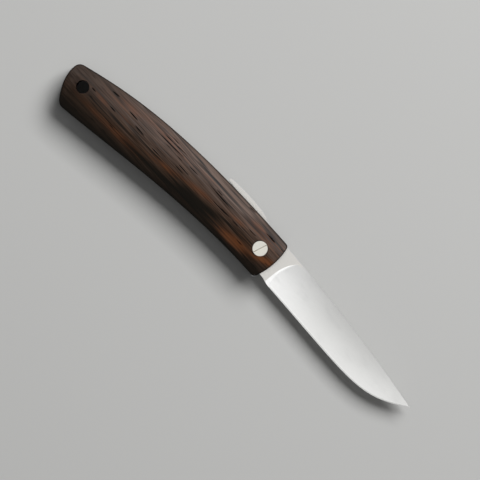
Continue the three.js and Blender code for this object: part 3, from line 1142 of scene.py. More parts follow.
def crown_tree(material: Material) -> NodeTree:
    """Geometry Nodes that raise a flat patch into a crowned, closed scale.

    Args:
        material: Material of the scale.

    Returns:
        The tree. It reads the distances that the patch's points hold.
    """
    tree = bpy.data.node_groups.new("Crowned scale", "GeometryNodeTree")
    face = tree.interface
    face.new_socket("Patch", in_out="INPUT", socket_type="NodeSocketGeometry")
    sizes = ("Thickness", "Side fall", "Side width", "Butt fall", "Butt width", "Power", "Rim radius")
    for name in sizes:
        face.new_socket(name, in_out="INPUT", socket_type="NodeSocketFloat")
    face.new_socket("Scale", in_out="OUTPUT", socket_type="NodeSocketGeometry")
    g = Graph(tree)
    inputs = g.add("NodeGroupInput").outputs

    def held(name: str) -> NodeSocket:
        """A distance that the patch's points hold."""
        return g.add("GeometryNodeInputNamedAttribute", {"Name": name}, data_type="FLOAT").outputs[0]

    def fall(gap: NodeSocket, width: str, depth: str) -> NodeSocket:
        """How far the crown has fallen at a distance from a side.

        Args:
            gap: The distance.
            width: Name of the input with the width of the fall.
            depth: Name of the input with its depth at the side.

        Returns:
            The fall.
        """
        share = g.math("MAXIMUM", g.math("SUBTRACT", 1.0, g.math("DIVIDE", gap, inputs[width])), 0.0)
        return g.math("MULTIPLY", g.math("POWER", share, inputs["Power"]), inputs[depth])

    side = fall(held("to_side"), "Side width", "Side fall")
    butt = fall(held("to_butt"), "Butt width", "Butt fall")
    drop = g.math("SQRT", g.math("ADD", g.math("MULTIPLY", side, side), g.math("MULTIPLY", butt, butt)))
    radius = inputs["Rim radius"]
    near = g.math("MAXIMUM", g.math("SUBTRACT", radius, held("to_rim")), 0.0)
    left = g.math("SUBTRACT", g.math("MULTIPLY", radius, radius), g.math("MULTIPLY", near, near))
    rim = g.math("SUBTRACT", radius, g.math("SQRT", g.math("MAXIMUM", left, 0.0)))
    height = g.math("SUBTRACT", inputs["Thickness"], g.math("ADD", drop, rim))
    under = g.add("GeometryNodeFlipFaces", {0: inputs["Patch"]}).outputs[0]
    lift = g.add(
        "GeometryNodeExtrudeMesh", {"Mesh": inputs["Patch"], "Offset Scale": 0.0, "Individual": False}
    ).outputs
    offset = g.vector(0.0, 0.0, height)
    moves = {"Geometry": lift["Mesh"], "Selection": lift["Top"], "Offset": offset}
    raised = g.add("GeometryNodeSetPosition", moves)
    joined = g.add("GeometryNodeJoinGeometry")
    tree.links.new(under, joined.inputs[0])
    tree.links.new(raised.outputs[0], joined.inputs[0])
    merged = g.add("GeometryNodeMergeByDistance", {0: joined.outputs[0], "Distance": MERGE_GAP})
    plain = g.add("GeometryNodeRealizeInstances", {0: merged.outputs[0]})
    dressed = g.add("GeometryNodeSetMaterial", {0: plain.outputs[0], "Material": material})
    g.add("NodeGroupOutput", {0: dressed.outputs[0]})
    return tree


def grown(mesh: Mesh, tree: NodeTree, values: dict[str, float]) -> Mesh:
    """The plain mesh that a Geometry Nodes tree makes of another.

    Args:
        mesh: What the tree works on.
        tree: The tree.
        values: Its inputs, by name.

    Returns:
        The resulting mesh.
    """
    shape = object_of(mesh)
    modifier = shape.modifiers.new(tree.name, "NODES")
    modifier.node_group = tree
    sockets = {s.name: s.identifier for s in tree.interface.items_tree if s.in_out == "INPUT"}
    for name, value in values.items():
        modifier[sockets[name]] = value
    return evaluated(shape)


@dataclass
class Scales:
    """The two wooden scales, crowned across and falling away at the butt."""

    outline: Outline
    layers: Layers
    stations: Stations
    side_fall: float = 1.8
    side_width: float = 7.5
    butt_fall: float = 1.4
    butt_width: float = 9
    power: float = 2.2
    rim_radius: float = 0.5
    rim_steps: int = 7
    mouth: float = 0.25
    mouth_turn: float = 1.35
    mouth_flare: float = 0.3
    seat_break: float = 0.12
    corner_cut: float = 1.35
    outline_net: float = 0.25
    front_net: tuple[float, float] = (1.5, 0.35)
    butt_net: tuple[float, float] = (3, 0.45)
    side_net: float = 0.45
    long_steps: int = 170
    flat_steps: int = 7

    @property
    def wood_outline(self) -> Outline:
        """The outline with its front belly corner rounder than the liners'."""
        cuts = self.outline.cuts
        return replace(self.outline, cuts=(*cuts[:2], self.corner_cut, cuts[3]))

    def gaps(self, width: float, spacing: float) -> np.ndarray:
        """Distances from a side, close together over its rim.

        Args:
            width: The last distance.
            spacing: Distance between rows past the rim.

        Returns:
            The distances, from 0 up.
        """
        rim = self.rim_radius
        near = rim * (1 - np.cos(np.linspace(0, math.pi / 2, self.rim_steps)))
        past = np.linspace(rim, width, math.ceil((width - rim) / spacing) + 1)[1:]
        return np.concatenate([near, past])

    def net(self, sides: Sequence[np.ndarray]) -> list[np.ndarray]:
        """Rows of points over the scale, stretched between its four sides.

        Args:
            sides: The points of the back, butt, belly and front end.

        Returns:
            The rows, from the front end to the butt, each from the belly to the back.
        """
        back, butt, belly, front = sides
        belly, butt = belly[::-1], butt[::-1]
        length = self.outline.length
        start = self.gaps(*self.front_net) / length
        end = 1 - self.gaps(*self.butt_net)[::-1] / length
        middle = np.linspace(start[-1], end[0], self.long_steps)
        side = self.gaps(self.side_width, self.side_net)
        rows = []
        for u in np.concatenate([start, middle[1:-1], end]):
            high = along(back, np.array([u * reach(back)[-1]]))[0]
            low = along(belly, np.array([u * reach(belly)[-1]]))[0]
            width = float(np.linalg.norm(high - low))
            flat = np.linspace(self.side_width, width - self.side_width, self.flat_steps)[1:-1]
            v = np.concatenate([side, flat, width - side[::-1]]) / width
            ends = (1 - u) * along(front, v * reach(front)[-1]) + u * along(butt, v * reach(butt)[-1])
            v = v[:, None]
            at_front = (1 - v) * belly[0] + v * back[0]
            at_butt = (1 - v) * belly[-1] + v * back[-1]
            rows.append((1 - v) * low + v * high + ends - ((1 - u) * at_front + u * at_butt))
        return rows

    def patch(self) -> Mesh:
        """The scale's outline filled with a net.

        Returns:
            The flat mesh, each point with its distances to the sides.
        """
        sides = self.wood_outline.sides(self.outline_net)
        rows = self.net(sides)
        columns, points = len(rows[0]), np.vstack(rows)
        faces = [
            [i * columns + j, i * columns + j + 1, (i + 1) * columns + j + 1, (i + 1) * columns + j]
            for i in range(len(rows) - 1)
            for j in range(columns - 1)
        ]
        mesh = bpy.data.meshes.new("patch")
        mesh.from_pydata((level(points, 0) * MM).tolist(), [], faces)
        if mesh.polygons[0].normal.z < 0:
            mesh.flip_normals()
        to_back, to_butt, to_belly, to_front = (distance(points, side) for side in sides)
        to_side = np.minimum(to_back, to_belly)
        to_rim = np.minimum(np.minimum(to_side, to_butt), to_front)
        for name, values in (("to_side", to_side), ("to_butt", to_butt), ("to_rim", to_rim)):
            hold(mesh, name, values * MM)
        return mesh

    def tools(self) -> list[Mesh]:
        """Bodies that cut the pivot's seat and the holes from a scale whose inner face is at level 0.

        Returns:
            The bodies.
        """
        s, thick, past = self.stations, self.layers.scale, 1
        seat = s.pivot_head / 2 + s.head_clearance
        bore = s.barrel / 2 + s.play
        floor = thick - s.pivot_head_height
        pivot = [
            (0, -past), (bore, -past), (bore, floor), (seat, floor), (seat, thick - self.seat_break),
            (seat + self.seat_break, thick), (seat + self.seat_break, thick + past), (0, thick + past),
        ]
        hole, mouth = s.lanyard / 2, self.mouth
        rim = [
            (hole + mouth * (1 - math.cos(turn)), thick - mouth + mouth * math.sin(turn))
            for turn in np.linspace(0, self.mouth_turn, 5)
        ]
        flare = hole + mouth + self.mouth_flare
        lanyard = [(0, -past), (hole, -past), *rim, (flare, thick + past), (0, thick + past)]
        made = [lathe("seat", pivot), lathe("hole", lanyard, 64, s.lanyard_place)]
        deep = s.pin_embed + s.end_gap
        for size, centre in s.pins().values():
            radius = size / 2 + s.play
            blind = [(0, -past), (radius, -past), (radius, deep), (0, deep)]
            made.append(lathe("blind", blind, 40, centre))
        return made

    def hold_gaps(self, mesh: Mesh) -> None:
        """Gives each point its distances from the belly and from the nearest side, in millimetres.

        Args:
            mesh: A scale.
        """
        places = np.empty(len(mesh.vertices) * 3, np.float32)
        mesh.vertices.foreach_get("co", places)
        points = places.reshape(-1, 3)[:, :2] / MM
        gaps = [distance(points, side) for side in self.wood_outline.sides(2)]
        hold(mesh, "from_belly", gaps[2])
        hold(mesh, "from_rim", np.min(gaps, axis=0))

    def build(self, upper: Material, lower: Material) -> None:
        """Builds and dresses both scales.

        Args:
            upper: Finish of the upper scale.
            lower: Finish of the lower scale.
        """
        values = {
            "Thickness": self.layers.scale * MM,
            "Side fall": self.side_fall * MM,
            "Side width": self.side_width * MM,
            "Butt fall": self.butt_fall * MM,
            "Butt width": self.butt_width * MM,
            "Power": self.power,
            "Rim radius": self.rim_radius * MM,
        }
        blank = grown(self.patch(), crown_tree(upper), values)
        shape = carved("upper_scale_wood", blank, self.tools())
        for name in ("to_side", "to_butt", "to_rim"):
            if name in shape.attributes:
                shape.attributes.remove(shape.attributes[name])
        self.hold_gaps(shape)
        other = shape.copy()
        other.name = "lower_scale_wood"
        shape.transform(Matrix.Translation((0, 0, (self.layers.ceiling + self.layers.liner) * MM)))
        turned_over = Matrix.Diagonal((1, 1, -1, 1))
        other.transform(Matrix.Translation((0, 0, self.layers.scale * MM)) @ turned_over)
        other.flip_normals()
        finished(shape, upper, HANDLE, ["upper_scale"])
        finished(other, lower, HANDLE, ["lower_scale"])


@dataclass
class FramePlates:
    """The two steel liners."""

    outline: Outline
    layers: Layers
    stations: Stations
    edge: float = 0.06

    def build(self, steel: Material) -> None:
        """Builds and dresses the liners.

        Args:
            steel: Their finish.
        """
        s = self.stations
        holes = [(s.barrel, (0.0, 0.0)), *s.pins().values()]
        for name, low in (("lower_liner", self.layers.scale), ("upper_liner", self.layers.ceiling)):
            high, made = low + self.layers.liner, f"{name}_steel"
            base = plate(made, self.outline.ring(), low, high, self.edge)
            rings = [circle(size + 2 * s.play, at, 48) for size, at in holes]
            rings.append(circle(s.lanyard, s.lanyard_place, 64))
            tools = [plate("hole", ring, low - 1, high + 1) for ring in rings]
            finished(carved(made, base, tools), steel, HANDLE, [name])


def pin_tree(material: Material) -> NodeTree:
    """Geometry Nodes that set a chamfered pin on each point.

    Args:
        material: Material of the pins.

    Returns:
        The tree.
    """
    tree = bpy.data.node_groups.new("Chamfered pins", "GeometryNodeTree")
    face = tree.interface
    face.new_socket("Stations", in_out="INPUT", socket_type="NodeSocketGeometry")
    for name in ("Radius", "Length", "Chamfer"):
        face.new_socket(name, in_out="INPUT", socket_type="NodeSocketFloat")
    face.new_socket("Pins", in_out="OUTPUT", socket_type="NodeSocketGeometry")
    g = Graph(tree)
    inputs = g.add("NodeGroupInput").outputs
    radius, length, chamfer = inputs["Radius"], inputs["Length"], inputs["Chamfer"]
    sizes = {"Vertices": 48, "Side Segments": 3, "Radius": radius, "Depth": length}
    body = g.add("GeometryNodeMeshCylinder", sizes)
    place = g.add("GeometryNodeInputPosition").outputs[0]
    x, y, z = g.add("ShaderNodeSeparateXYZ", {0: place}).outputs
    end = g.math("GREATER_THAN", g.math("ABSOLUTE", z), g.math("MULTIPLY", length, 0.4))
    shrink = g.math("SUBTRACT", 1.0, g.math("MULTIPLY", end, g.math("DIVIDE", chamfer, radius)))
    drop = g.math("MULTIPLY", g.math("SUBTRACT", 1.0, end), chamfer)
    half = g.math("SUBTRACT", g.math("MULTIPLY", length, 0.5), drop)
    height = g.math("MULTIPLY", g.math("SIGN", z), half)
    moved = g.vector(g.math("MULTIPLY", x, shrink), g.math("MULTIPLY", y, shrink), height)
    shaped = g.add("GeometryNodeSetPosition", {"Geometry": body.outputs[0], "Position": moved})
    points = g.add("GeometryNodeMeshToPoints", {0: inputs["Stations"]})
    placed = {"Points": points.outputs[0], "Instance": shaped.outputs[0]}
    copies = g.add("GeometryNodeInstanceOnPoints", placed)
    plain = g.add("GeometryNodeRealizeInstances", {0: copies.outputs[0]})
    dressed = g.add("GeometryNodeSetMaterial", {0: plain.outputs[0], "Material": material})
    g.add("NodeGroupOutput", {0: dressed.outputs[0]})
    return tree


@dataclass
class Pins:
    """The stop pin and the three frame pins."""

    layers: Layers
    stations: Stations
    chamfer: float = 0.2

    def build(self, steel: Material) -> None:
        """Builds and dresses the pins.

        Args:
            steel: Their finish.
        """
        s = self.stations
        tree = pin_tree(steel)
        length = 2 * (s.pin_embed + self.layers.liner) + self.layers.slot
        for node, (size, centre) in s.pins().items():
            station = bpy.data.meshes.new(f"{node}_steel")
            station.from_pydata([[centre[0] * MM, centre[1] * MM, self.layers.middle * MM]], [], [])
            values = {"Radius": size / 2 * MM, "Length": length * MM, "Chamfer": self.chamfer * MM}
            finished(grown(station, tree, values), steel, HANDLE, [node])


# The pivot.


@dataclass
class Pivot:
    """The barrel, the slotted screw that closes it, and the two washers."""

    layers: Layers
    stations: Stations
    edge: float = 0.1
    end_break: float = 0.15
    tip_break: float = 0.3
    ring_edge: float = 0.05
    slot_width: float = 0.4
    slot_depth: float = 0.6
    slot_angle: float = 79
    sharp: float = 20

    def barrel(self) -> Mesh:
        """The barrel with its plain head, in the lower scale.

        Returns:
            The mesh.
        """
        s, e, cut = self.stations, self.edge, self.end_break
        head, body = s.pivot_head / 2, s.barrel / 2
        bore, floor = s.screw / 2 + s.screw_play, s.pivot_head_height + s.barrel_floor
        top = self.layers.top - s.pivot_head_height - s.end_gap
        profile = [
            (0, 0), (head - e, 0), (head, e), (head, s.pivot_head_height),
            (body, s.pivot_head_height), (body, top - cut), (body - cut, top), (bore + e, top),
            (bore, top - e), (bore, floor), (0, floor),
        ]
        return lathe("pivot_barrel_turned", profile)

    def screw(self) -> Mesh:
        """The screw, its slot cut across the head.

        Returns:
            The mesh.
        """
        s, e, cut, top = self.stations, self.edge, self.tip_break, self.layers.top
        head, shank, seat = s.pivot_head / 2, s.screw / 2, top - s.pivot_head_height
        tip = s.pivot_head_height + s.barrel_floor + s.end_gap
        profile = [
            (0, tip), (shank - cut, tip), (shank, tip + cut), (shank, seat), (head, seat),
            (head, top - e), (head - e, top), (0, top),
        ]
        half, width = s.pivot_head, self.slot_width / 2
        run = np.array(turned((0, 0), self.slot_angle, 1))
        cross = np.array([-run[1], run[0]])
        corners = ((-1, -1), (1, -1), (1, 1), (-1, 1))
        ring = np.array([half * run * i + width * cross * j for i, j in corners])
        slot = plate("slot", ring, top - self.slot_depth, top + 1)
        return carved("pivot_screw_turned", lathe("screw", profile), [slot])

    def washer(self, name: str, low: float) -> Mesh:
        """A flat ring with broken edges.

        Args:
            name: Name of the mesh.
            low: Height of its lower face.

        Returns:
            The mesh.
        """
        s, thick, e = self.stations, self.layers.washer, self.ring_edge
        inner, outer = s.barrel / 2 + s.play, s.washer / 2
        profile = [
            (inner + e, low), (outer - e, low), (outer, low + e),
            (outer, low + thick - e), (outer - e, low + thick), (inner + e, low + thick),
            (inner, low + thick - e), (inner, low + e),
        ]
        return lathe(name, profile)

    def build(self, silver: Material, bronze: Material) -> None:
        """Builds and dresses the pivot.

        Args:
            silver: Finish of the barrel and the screw.
            bronze: Finish of the washers.
        """
        finished(self.barrel(), silver, HANDLE, ["pivot_barrel"], self.sharp)
        finished(self.screw(), silver, HANDLE, ["pivot_screw"], self.sharp)
        low, high = self.layers.floor, self.layers.ceiling - self.layers.washer
        finished(self.washer("lower_washer_ring", low), bronze, HANDLE, ["lower_washer"])
        finished(self.washer("upper_washer_ring", high), bronze, HANDLE, ["upper_washer"])


# The blade.


@dataclass
class Blade:
    """The blade with its tang and tail, ground from the plunge line to the tip."""

    layers: Layers
    stations: Stations
    reach: float = 83.4
    tip_height: float = 7.75
    spine: float = 8.5
    spine_rise: float = 1.07
    spine_start: float = 6.4
    heel: tuple[float, float] = (12.9, -6.5)
    ricasso: float = 6.1
    ricasso_fall: tuple[float, float] = (1.2, 0.4)
    edge_half: float = 0.15
    edge_slope: float = 3
    tip_slope: float = 41
    edge_hold: float = 0.707
    tip_hold: float = 0.296
    plunge: float = 10.9
    plunge_lean: float = 5.1
    plunge_knee: float = 0.7
    plunge_width: float = 2.5
    convexity: float = 1.6
    bevel_width: float = 0.5
    bevel_half: float = 0.03
    bevel_start: float = 1.2
    bevel_fade: float = 1
    break_width: float = 0.12
    spine_break: tuple[float, float] = (0.18, 0.12)
    tail_reach: float = 28.1
    tail_radius: float = 0.8
    tail_level: float = 7.35
    tail_crest: float = 9.6
    tail_crest_reach: float = 11.5
    tail_root: float = 3.5
    tail_root_drop: float = 0.1
    tail_swell: tuple[float, float] = (3.5, 4)
    notch_width: float = 1.1
    plunge_net: tuple[float, float, float] = (9, 20, 0.12)
    ground_net: tuple[float, float, float] = (20, 80, 0.5)
    least_step: float = 0.004
    tail_rows: int = 12
    rows_across: int = 34
    bend_at: tuple[float, float, float] = (4, 13, 30)
    stop_clearance: float = 0.05
    sharp: float = 20

    def edge(self) -> np.ndarray:
        """The edge.

        Returns:
            Its points, from the heel to the tip.
        """
        tip, run = (self.reach, self.tip_height), self.reach - self.heel[0]
        controls = [
            self.heel,
            turned(self.heel, self.edge_slope, self.edge_hold * run),
            turned(tip, 180 + self.tip_slope, self.tip_hold * run),
            tip,
        ]
        return bezier(controls, 400)

    def tail_end(self) -> tuple[float, float]:
        """Centre of the tail's rounded end."""
        return (self.tail_radius - self.tail_reach, self.tail_level)

    def upper_row(self) -> np.ndarray:
        """The upper outline.

        Returns:
            Its points, from the tail's end to the tip.
        """
        tip, start = (self.reach, self.tip_height), (self.spine_start, self.spine)
        middle = ((start[0] + tip[0]) / 2, (start[1] + tip[1]) / 2 + 2 * self.spine_rise)
        root = (-self.tail_root, self.spine - self.tail_root_drop)
        crest = (-self.tail_crest_reach, self.tail_crest)
        end = self.tail_end()
        top = (end[0], end[1] + self.tail_radius)
        low_swell, high_swell = (root[0] - run for run in self.tail_swell)
        swell = [crest, (high_swell, self.tail_crest), (low_swell, self.spine), root]
        return np.vstack(
            [
                arc(end, self.tail_radius, 1, 0.5, 24),
                bezier([top, ((top[0] + crest[0]) / 2, self.tail_crest), crest], 40)[1:],
                bezier(swell, 40)[1:],
                [start],
                bezier([start, middle, tip], 200)[1:],
            ]
        )

    def underside(self, x: float) -> float:
        """Height of the tail's underside, carried on straight past its ends.

        Args:
            x: A place along X.

        Returns:
            The height there.
        """
        stop, radius = self.stations.box_centre("stop_pin"), self.stations.stop_pin / 2
        end = self.tail_end()
        low = (end[0], end[1] - self.tail_radius)
        slope = (stop[1] + radius + self.stop_clearance - low[1]) / (stop[0] - low[0])
        return low[1] + slope * (x - low[0])

    def lower_row(self) -> np.ndarray:
        """The lower outline.

        Returns:
            Its points, from the tail's end past the tang to the tip.
        """
        stop, radius = self.stations.box_centre("stop_pin"), self.stations.stop_pin / 2
        end, tang = self.tail_end(), self.ricasso
        low = (end[0], end[1] - self.tail_radius)
        notch = (stop[0] + radius, self.underside(stop[0] + radius))
        wall = (notch[0] + self.notch_width, stop[1])
        fall = (self.plunge - self.ricasso_fall[0], -tang)
        knee = (self.plunge + self.ricasso_fall[1], self.heel[1])
        return np.vstack(
            [
                arc(end, self.tail_radius, 1, 1.5, 24),
                bezier([low, notch], 60)[1:],
                bezier([notch, (wall[0], notch[1]), wall], 10)[1:],
                bezier([wall, (-tang, stop[1] / 2), (-tang, 0)], 16)[1:],
                arc((0, 0), tang, 1, 1.5, 30)[1:],
                bezier([(0, -tang), fall], 24)[1:],
                bezier([fall, knee, self.heel], 16)[1:],
                self.edge()[1:],
            ]
        )

    def plunge_at(self, y: np.ndarray) -> np.ndarray:
        """Where the plunge line stands along X.

        Args:
            y: Heights along Y.

        Returns:
            One place for each height.
        """
        low, knee, high = -1, self.spine / 2 + self.plunge_knee, self.spine + 2
        foot, end = (self.plunge, low), (self.plunge + self.plunge_lean, high)
        curve = bezier([foot, (self.plunge, knee), end], 60)
        return np.interp(y, curve[:, 1], curve[:, 0])

    def half_thickness(
        self, x: np.ndarray, y: np.ndarray, low: np.ndarray, high: np.ndarray
    ) -> np.ndarray:
        """Half the blade's thickness over places on it.

        Args:
            x: Places along X.
            y: Places along Y.
            low: Height of the lower outline under each place.
            high: Height of the upper outline over each place.

        Returns:
            Half thicknesses.
        """
        full, depth = self.layers.blade / 2, self.spine - self.heel[1]
        edge = self.edge()
        rise = np.maximum(y - np.interp(x, edge[:, 0], edge[:, 1]), 0)

        # The ground face, and the plunge that carries it up to the flat.
        share = np.clip(rise / depth, 0, 1)
        ground = self.edge_half + (full - self.edge_half) * (1 - (1 - share) ** self.convexity)
        past = x - self.plunge_at(y)
        width = self.plunge_width * np.sqrt(np.maximum(full - ground, 1e-6) / full)
        share = np.clip(1 - past / width, 0, 1)
        half = np.where(past <= 0, full, ground + (full - ground) * share**2)

        # The edge's bevel, which fades out before the heel, and the broken back and tang.
        bevel_top = self.edge_half + (full - self.edge_half) / depth * self.bevel_width
        bevel = self.bevel_half + rise / self.bevel_width * (bevel_top - self.bevel_half)
        bevel = bevel + np.maximum(self.heel[0] + self.bevel_fade - x, 0) ** 2
        sharpened = x >= self.heel[0] - self.bevel_start
        half = np.where(sharpened, np.minimum(half, bevel), half)
        broken = np.maximum(1 - (high - y) / self.spine_break[0], 0) * self.spine_break[1]
        broken += np.where(sharpened, 0, np.maximum(self.break_width - (y - low), 0))
        return np.maximum(half - broken, self.bevel_half)

    def places(self, lower: np.ndarray, upper: np.ndarray) -> np.ndarray:
        """Stations along X, closest about the plunge line.

        Args:
            lower: The lower outline.
            upper: The upper outline.

        Returns:
            The stations, from the tail's end to the tip.
        """
        nets = [np.arange(*self.plunge_net), np.arange(*self.ground_net)]
        places = np.unique(np.concatenate([lower[:, 0], *nets, upper[: self.tail_rows, 0]]))
        return places[np.concatenate([[True], np.diff(places) > self.least_step])]

    def section(self, x: float, lower: np.ndarray, upper: np.ndarray) -> np.ndarray:
        """Points from the lower to the upper outline at a station, bent with the plunge line near it.

        Args:
            x: The station.
            lower: The lower outline.
            upper: The upper outline.

        Returns:
            Place along X and Y and half thickness of each point.
        """
        # How far the outermost points lie from the lower and from the upper outline.
        near = np.array([0, self.break_width, 0.25, 0.4, self.bevel_width, 0.62])
        far = np.array([0.32, self.spine_break[0], self.spine_break[0] / 2, 0])
        low = float(np.interp(x, lower[:, 0], lower[:, 1]))
        high = float(np.interp(x, upper[:, 0], upper[:, 1]))
        width = high - low
        first = low + np.minimum(near, near / near[-1] * width * 0.3)
        last = high - np.minimum(far, far / far[0] * width * 0.2)
        inner = np.linspace(0, 1, self.rows_across)[1:-1]
        y = np.concatenate([first, first[-1] + inner * (last[0] - first[-1]), last])
        start, end, gone = self.bend_at
        shift = np.interp(x, [start, self.plunge, end, gone], [0, 1, 1, 0])
        moved = x + shift * (self.plunge_at(y) - self.plunge)
        base = np.interp(moved, lower[:, 0], lower[:, 1])
        roof = np.interp(moved, upper[:, 0], upper[:, 1])
        y = base + (y - low) / max(width, 1e-6) * (roof - base)
        return np.stack([moved, y, self.half_thickness(moved, y, base, roof)], 1)

    def blank(self) -> Mesh:
        """The blade without its pivot hole.

        Returns:
            The mesh.
        """
        lower, upper = self.lower_row(), self.upper_row()
        rows = [self.section(x, lower, upper) for x in self.places(lower, upper)]
        columns = len(rows[0])
        side = np.vstack(rows)
        points = np.vstack([side, side * (1, 1, -1)]) + (0, 0, self.layers.middle)
        under = len(side)
        faces = []
        for i in range(len(rows) - 1):
            for j in range(columns - 1):
                a, b = i * columns + j, (i + 1) * columns + j
                faces.append([a, b, b + 1, a + 1])
                faces.append([under + a, under + a + 1, under + b + 1, under + b])
            for j in (0, columns - 1):
                a, b = i * columns + j, (i + 1) * columns + j
                faces.append([a, under + a, under + b, b])
        return mesh_of("blank", points, faces)

    def build(self, steel: Material) -> None:
        """Builds and dresses the blade.

        Args:
            steel: Its finish.
        """
        bore, past = self.stations.barrel + 2 * self.stations.play, 3
        tool = plate("bore", circle(bore), self.layers.middle - past, self.layers.middle + past)
        mesh = carved("blade_ground", self.blank(), [tool])
        finished(mesh, steel, BLADE, ["blade"], self.sharp)


@dataclass
class Spacer:
    """The steel spacer along the handle's back and round its butt, with room for the blade."""

    outline: Outline
    layers: Layers
    stations: Stations
    blade: Blade
    fold: float = 170
    edge_clearance: float = 1.2
    tail_clearance: float = 0.4
    nose_reach: float = 12
    edge: float = 0.06

    def folded_rim(self) -> np.ndarray:
        """The folded blade's edge, held off by its clearance.

        Returns:
            Its points, from the heel to the tip.
        """
        edge = self.blade.edge()
        run = np.gradient(edge, axis=0)
        run /= np.linalg.norm(run, axis=1)[:, None]
        edge = edge + self.edge_clearance * np.stack([run[:, 1], -run[:, 0]], 1)
        turn = math.radians(-self.fold)
        matrix = np.array([[math.cos(turn), -math.sin(turn)], [math.sin(turn), math.cos(turn)]])
        tip = matrix @ np.array([self.blade.reach, self.blade.tip_height])
        return np.vstack([edge @ matrix.T, tip - (self.edge_clearance, 0)])

    def tools(self) -> list[Mesh]:
        """Bodies that cut the rooms and the holes from the plate.

        Returns:
            The bodies.
        """
        s, far = self.stations, self.outline.length
        low, high = self.layers.floor - 1, self.layers.ceiling + 1
        rim = self.folded_rim()
        folded = np.vstack([[(far, rim[0, 1])], rim, [(rim[-1, 0], -far)], [(far, -far)]])
        start = -self.blade.tail_reach - self.tail_clearance
        under = [(x, self.blade.underside(x) - self.tail_clearance) for x in (start, far)]
        tail = np.array([*under, (far, far), (start, far)])
        pins = s.pins()
        nose = pins.pop("stop_pin")[1][0] - self.nose_reach
        front = np.array([(nose, -far), (far, -far), (far, far), (nose, far)])
        holes = [circle(s.lanyard, s.lanyard_place, 64)]
        holes += [circle(size + 2 * s.play, at, 48) for size, at in pins.values()]
        return [plate("room", ring, low, high) for ring in (folded, tail, front, *holes)]

    def build(self, steel: Material) -> None:
        """Builds and dresses the spacer.

        Args:
            steel: Its finish.
        """
        base = plate("blank", self.outline.ring(), self.layers.floor, self.layers.ceiling, self.edge)
        mesh = carved("back_spacer_steel", base, self.tools())
        finished(mesh, steel, HANDLE, ["back_spacer"])


# The studio.


@dataclass(frozen=True)
class Lamp:
    """A soft light over the knife, in metres and watts."""

    name: str
    place: tuple[float, float, float]
    size: tuple[float, float]
    power: float
    diffuse: bool = True
    glossy: bool = True

    def hang(self, aim: Vector) -> None:
        """Hangs the light.

        Args:
            aim: Place that it is turned to.
        """
        light = bpy.data.lights.new(self.name, "AREA")
        light.shape, light.energy = "RECTANGLE", self.power
        light.size, light.size_y = self.size
        made = bpy.data.objects.new(self.name, light)
        bpy.context.scene.collection.objects.link(made)
        made.location = self.place
        made.rotation_mode = "QUATERNION"
        made.rotation_quaternion = (aim - made.location).to_track_quat("-Z", "Y")
        made.visible_diffuse, made.visible_glossy = self.diffuse, self.glossy


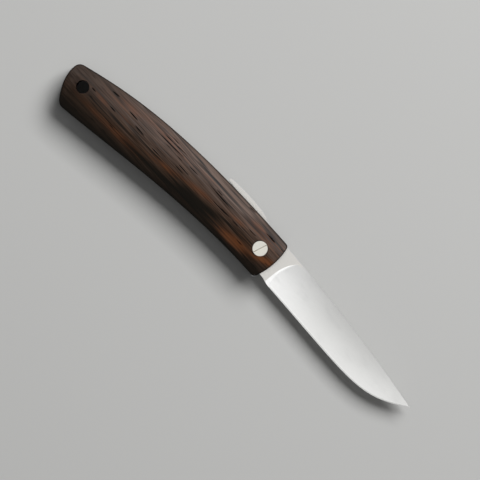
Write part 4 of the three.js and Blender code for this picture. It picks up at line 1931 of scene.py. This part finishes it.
@dataclass
class Studio:
    """Floor, light and camera, which aren't part of the object.

    The key lights the knife but keeps out of its reflections, and the other two show in them alone.
    """

    view_span: float = 183.4
    view_height: float = 2000
    view_level: float = 8.5
    view_centre: tuple[float, float] = (-7.3, -4.0)
    view_turn: float = 51.9
    view_clip: tuple[float, float] = (0.01, 10)
    sensor: float = 36
    floor_half: float = 3000
    floor_colour: Colour = colour(0.56, 0.56, 0.55)
    background: float = 0.6
    ambient: float = 0.14
    lamps: tuple[Lamp, ...] = (
        Lamp("key", (-0.16, 1.04, 1.32), (1.0, 1.0), 30, glossy=False),
        Lamp("overhead", (0.06, -0.92, 2.4), (3.2, 1.12), 5.7, diffuse=False),
        Lamp("side", (1.44, -0.1, 1.0), (1.6, 1.6), 3.8, diffuse=False),
    )

    def floor(self) -> None:
        """Lays a plain pale floor under the knife."""
        s = Shader("pale floor")
        s.set(Base_Color=self.floor_colour, Roughness=0.9, Specular_IOR_Level=0.1)
        half = self.floor_half
        ring = np.array([(-half, -half), (half, -half), (half, half), (-half, half)])
        mesh = mesh_of("floor", level(ring, 0), [[0, 1, 2, 3]])
        mesh.materials.append(s.material)
        object_of(mesh)

    def world(self) -> None:
        """Sets a pale background, seen by the camera and in reflections, and a lower ambient light."""
        world = bpy.data.worlds.new("studio")
        world.use_nodes = True
        bpy.context.scene.world = world
        g = Graph(world.node_tree)
        rays = g.add("ShaderNodeLightPath").outputs
        mirrored = g.math("MAXIMUM", rays["Is Glossy Ray"], rays["Is Transmission Ray"])
        seen = g.math("MAXIMUM", rays["Is Camera Ray"], mirrored)
        strength = g.math("ADD", g.math("MULTIPLY", seen, self.background - self.ambient), self.ambient)
        light = world.node_tree.nodes["Background"].inputs
        g.feed(light["Color"], colour(1, 1, 1))
        g.feed(light["Strength"], strength)

    def camera(self) -> None:
        """Sets the camera over the knife, looking straight down."""
        data = bpy.data.cameras.new("camera")
        data.sensor_width = self.sensor
        data.lens = self.sensor * (self.view_height - self.view_level) / self.view_span
        data.clip_start, data.clip_end = self.view_clip
        made = bpy.data.objects.new("camera", data)
        bpy.context.scene.collection.objects.link(made)
        made.location = (self.view_centre[0] * MM, self.view_centre[1] * MM, self.view_height * MM)
        made.rotation_euler = (0, 0, math.radians(self.view_turn))
        bpy.context.scene.camera = made

    def build(self) -> None:
        """Builds the studio."""
        self.floor()
        self.world()
        aim = Vector((self.view_centre[0] * MM, self.view_centre[1] * MM, 0))
        for lamp in self.lamps:
            lamp.hang(aim)
        self.camera()
        bpy.context.scene.view_settings.view_transform = "Standard"


def main() -> None:
    """Builds the knife and its studio."""
    logging.basicConfig(level=logging.INFO, format="%(message)s")
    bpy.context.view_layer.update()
    layers, outline, stations = Layers(), Outline(), Stations()
    steel = BoredFinish("frame steel", colour(0.56, 0.57, 0.58), 0.48, (0.4, 9, 9)).material()
    silver = SlottedFinish("nickel silver", colour(0.99, 0.96, 0.87), 0.32, (5, 0.5, 0.5)).material()
    bronze = MetalFinish("bronze", colour(0.69, 0.5, 0.3), 0.4, (4, 4, 4)).material()
    satin = GroundFinish("blade steel", colour(0.79, 0.79, 0.775), 0.23, (6, 0.3, 0.3), 0.04)
    Scales(outline, layers, stations).build(upper_wood().material(), lower_wood().material())
    FramePlates(outline, layers, stations).build(steel)
    Pins(layers, stations).build(steel)
    Pivot(layers, stations).build(silver, bronze)
    blade = Blade(layers, stations)
    blade.build(satin.material())
    Spacer(outline, layers, stations, blade).build(steel)
    Studio().build()


if __name__ == "__main__":
    main()
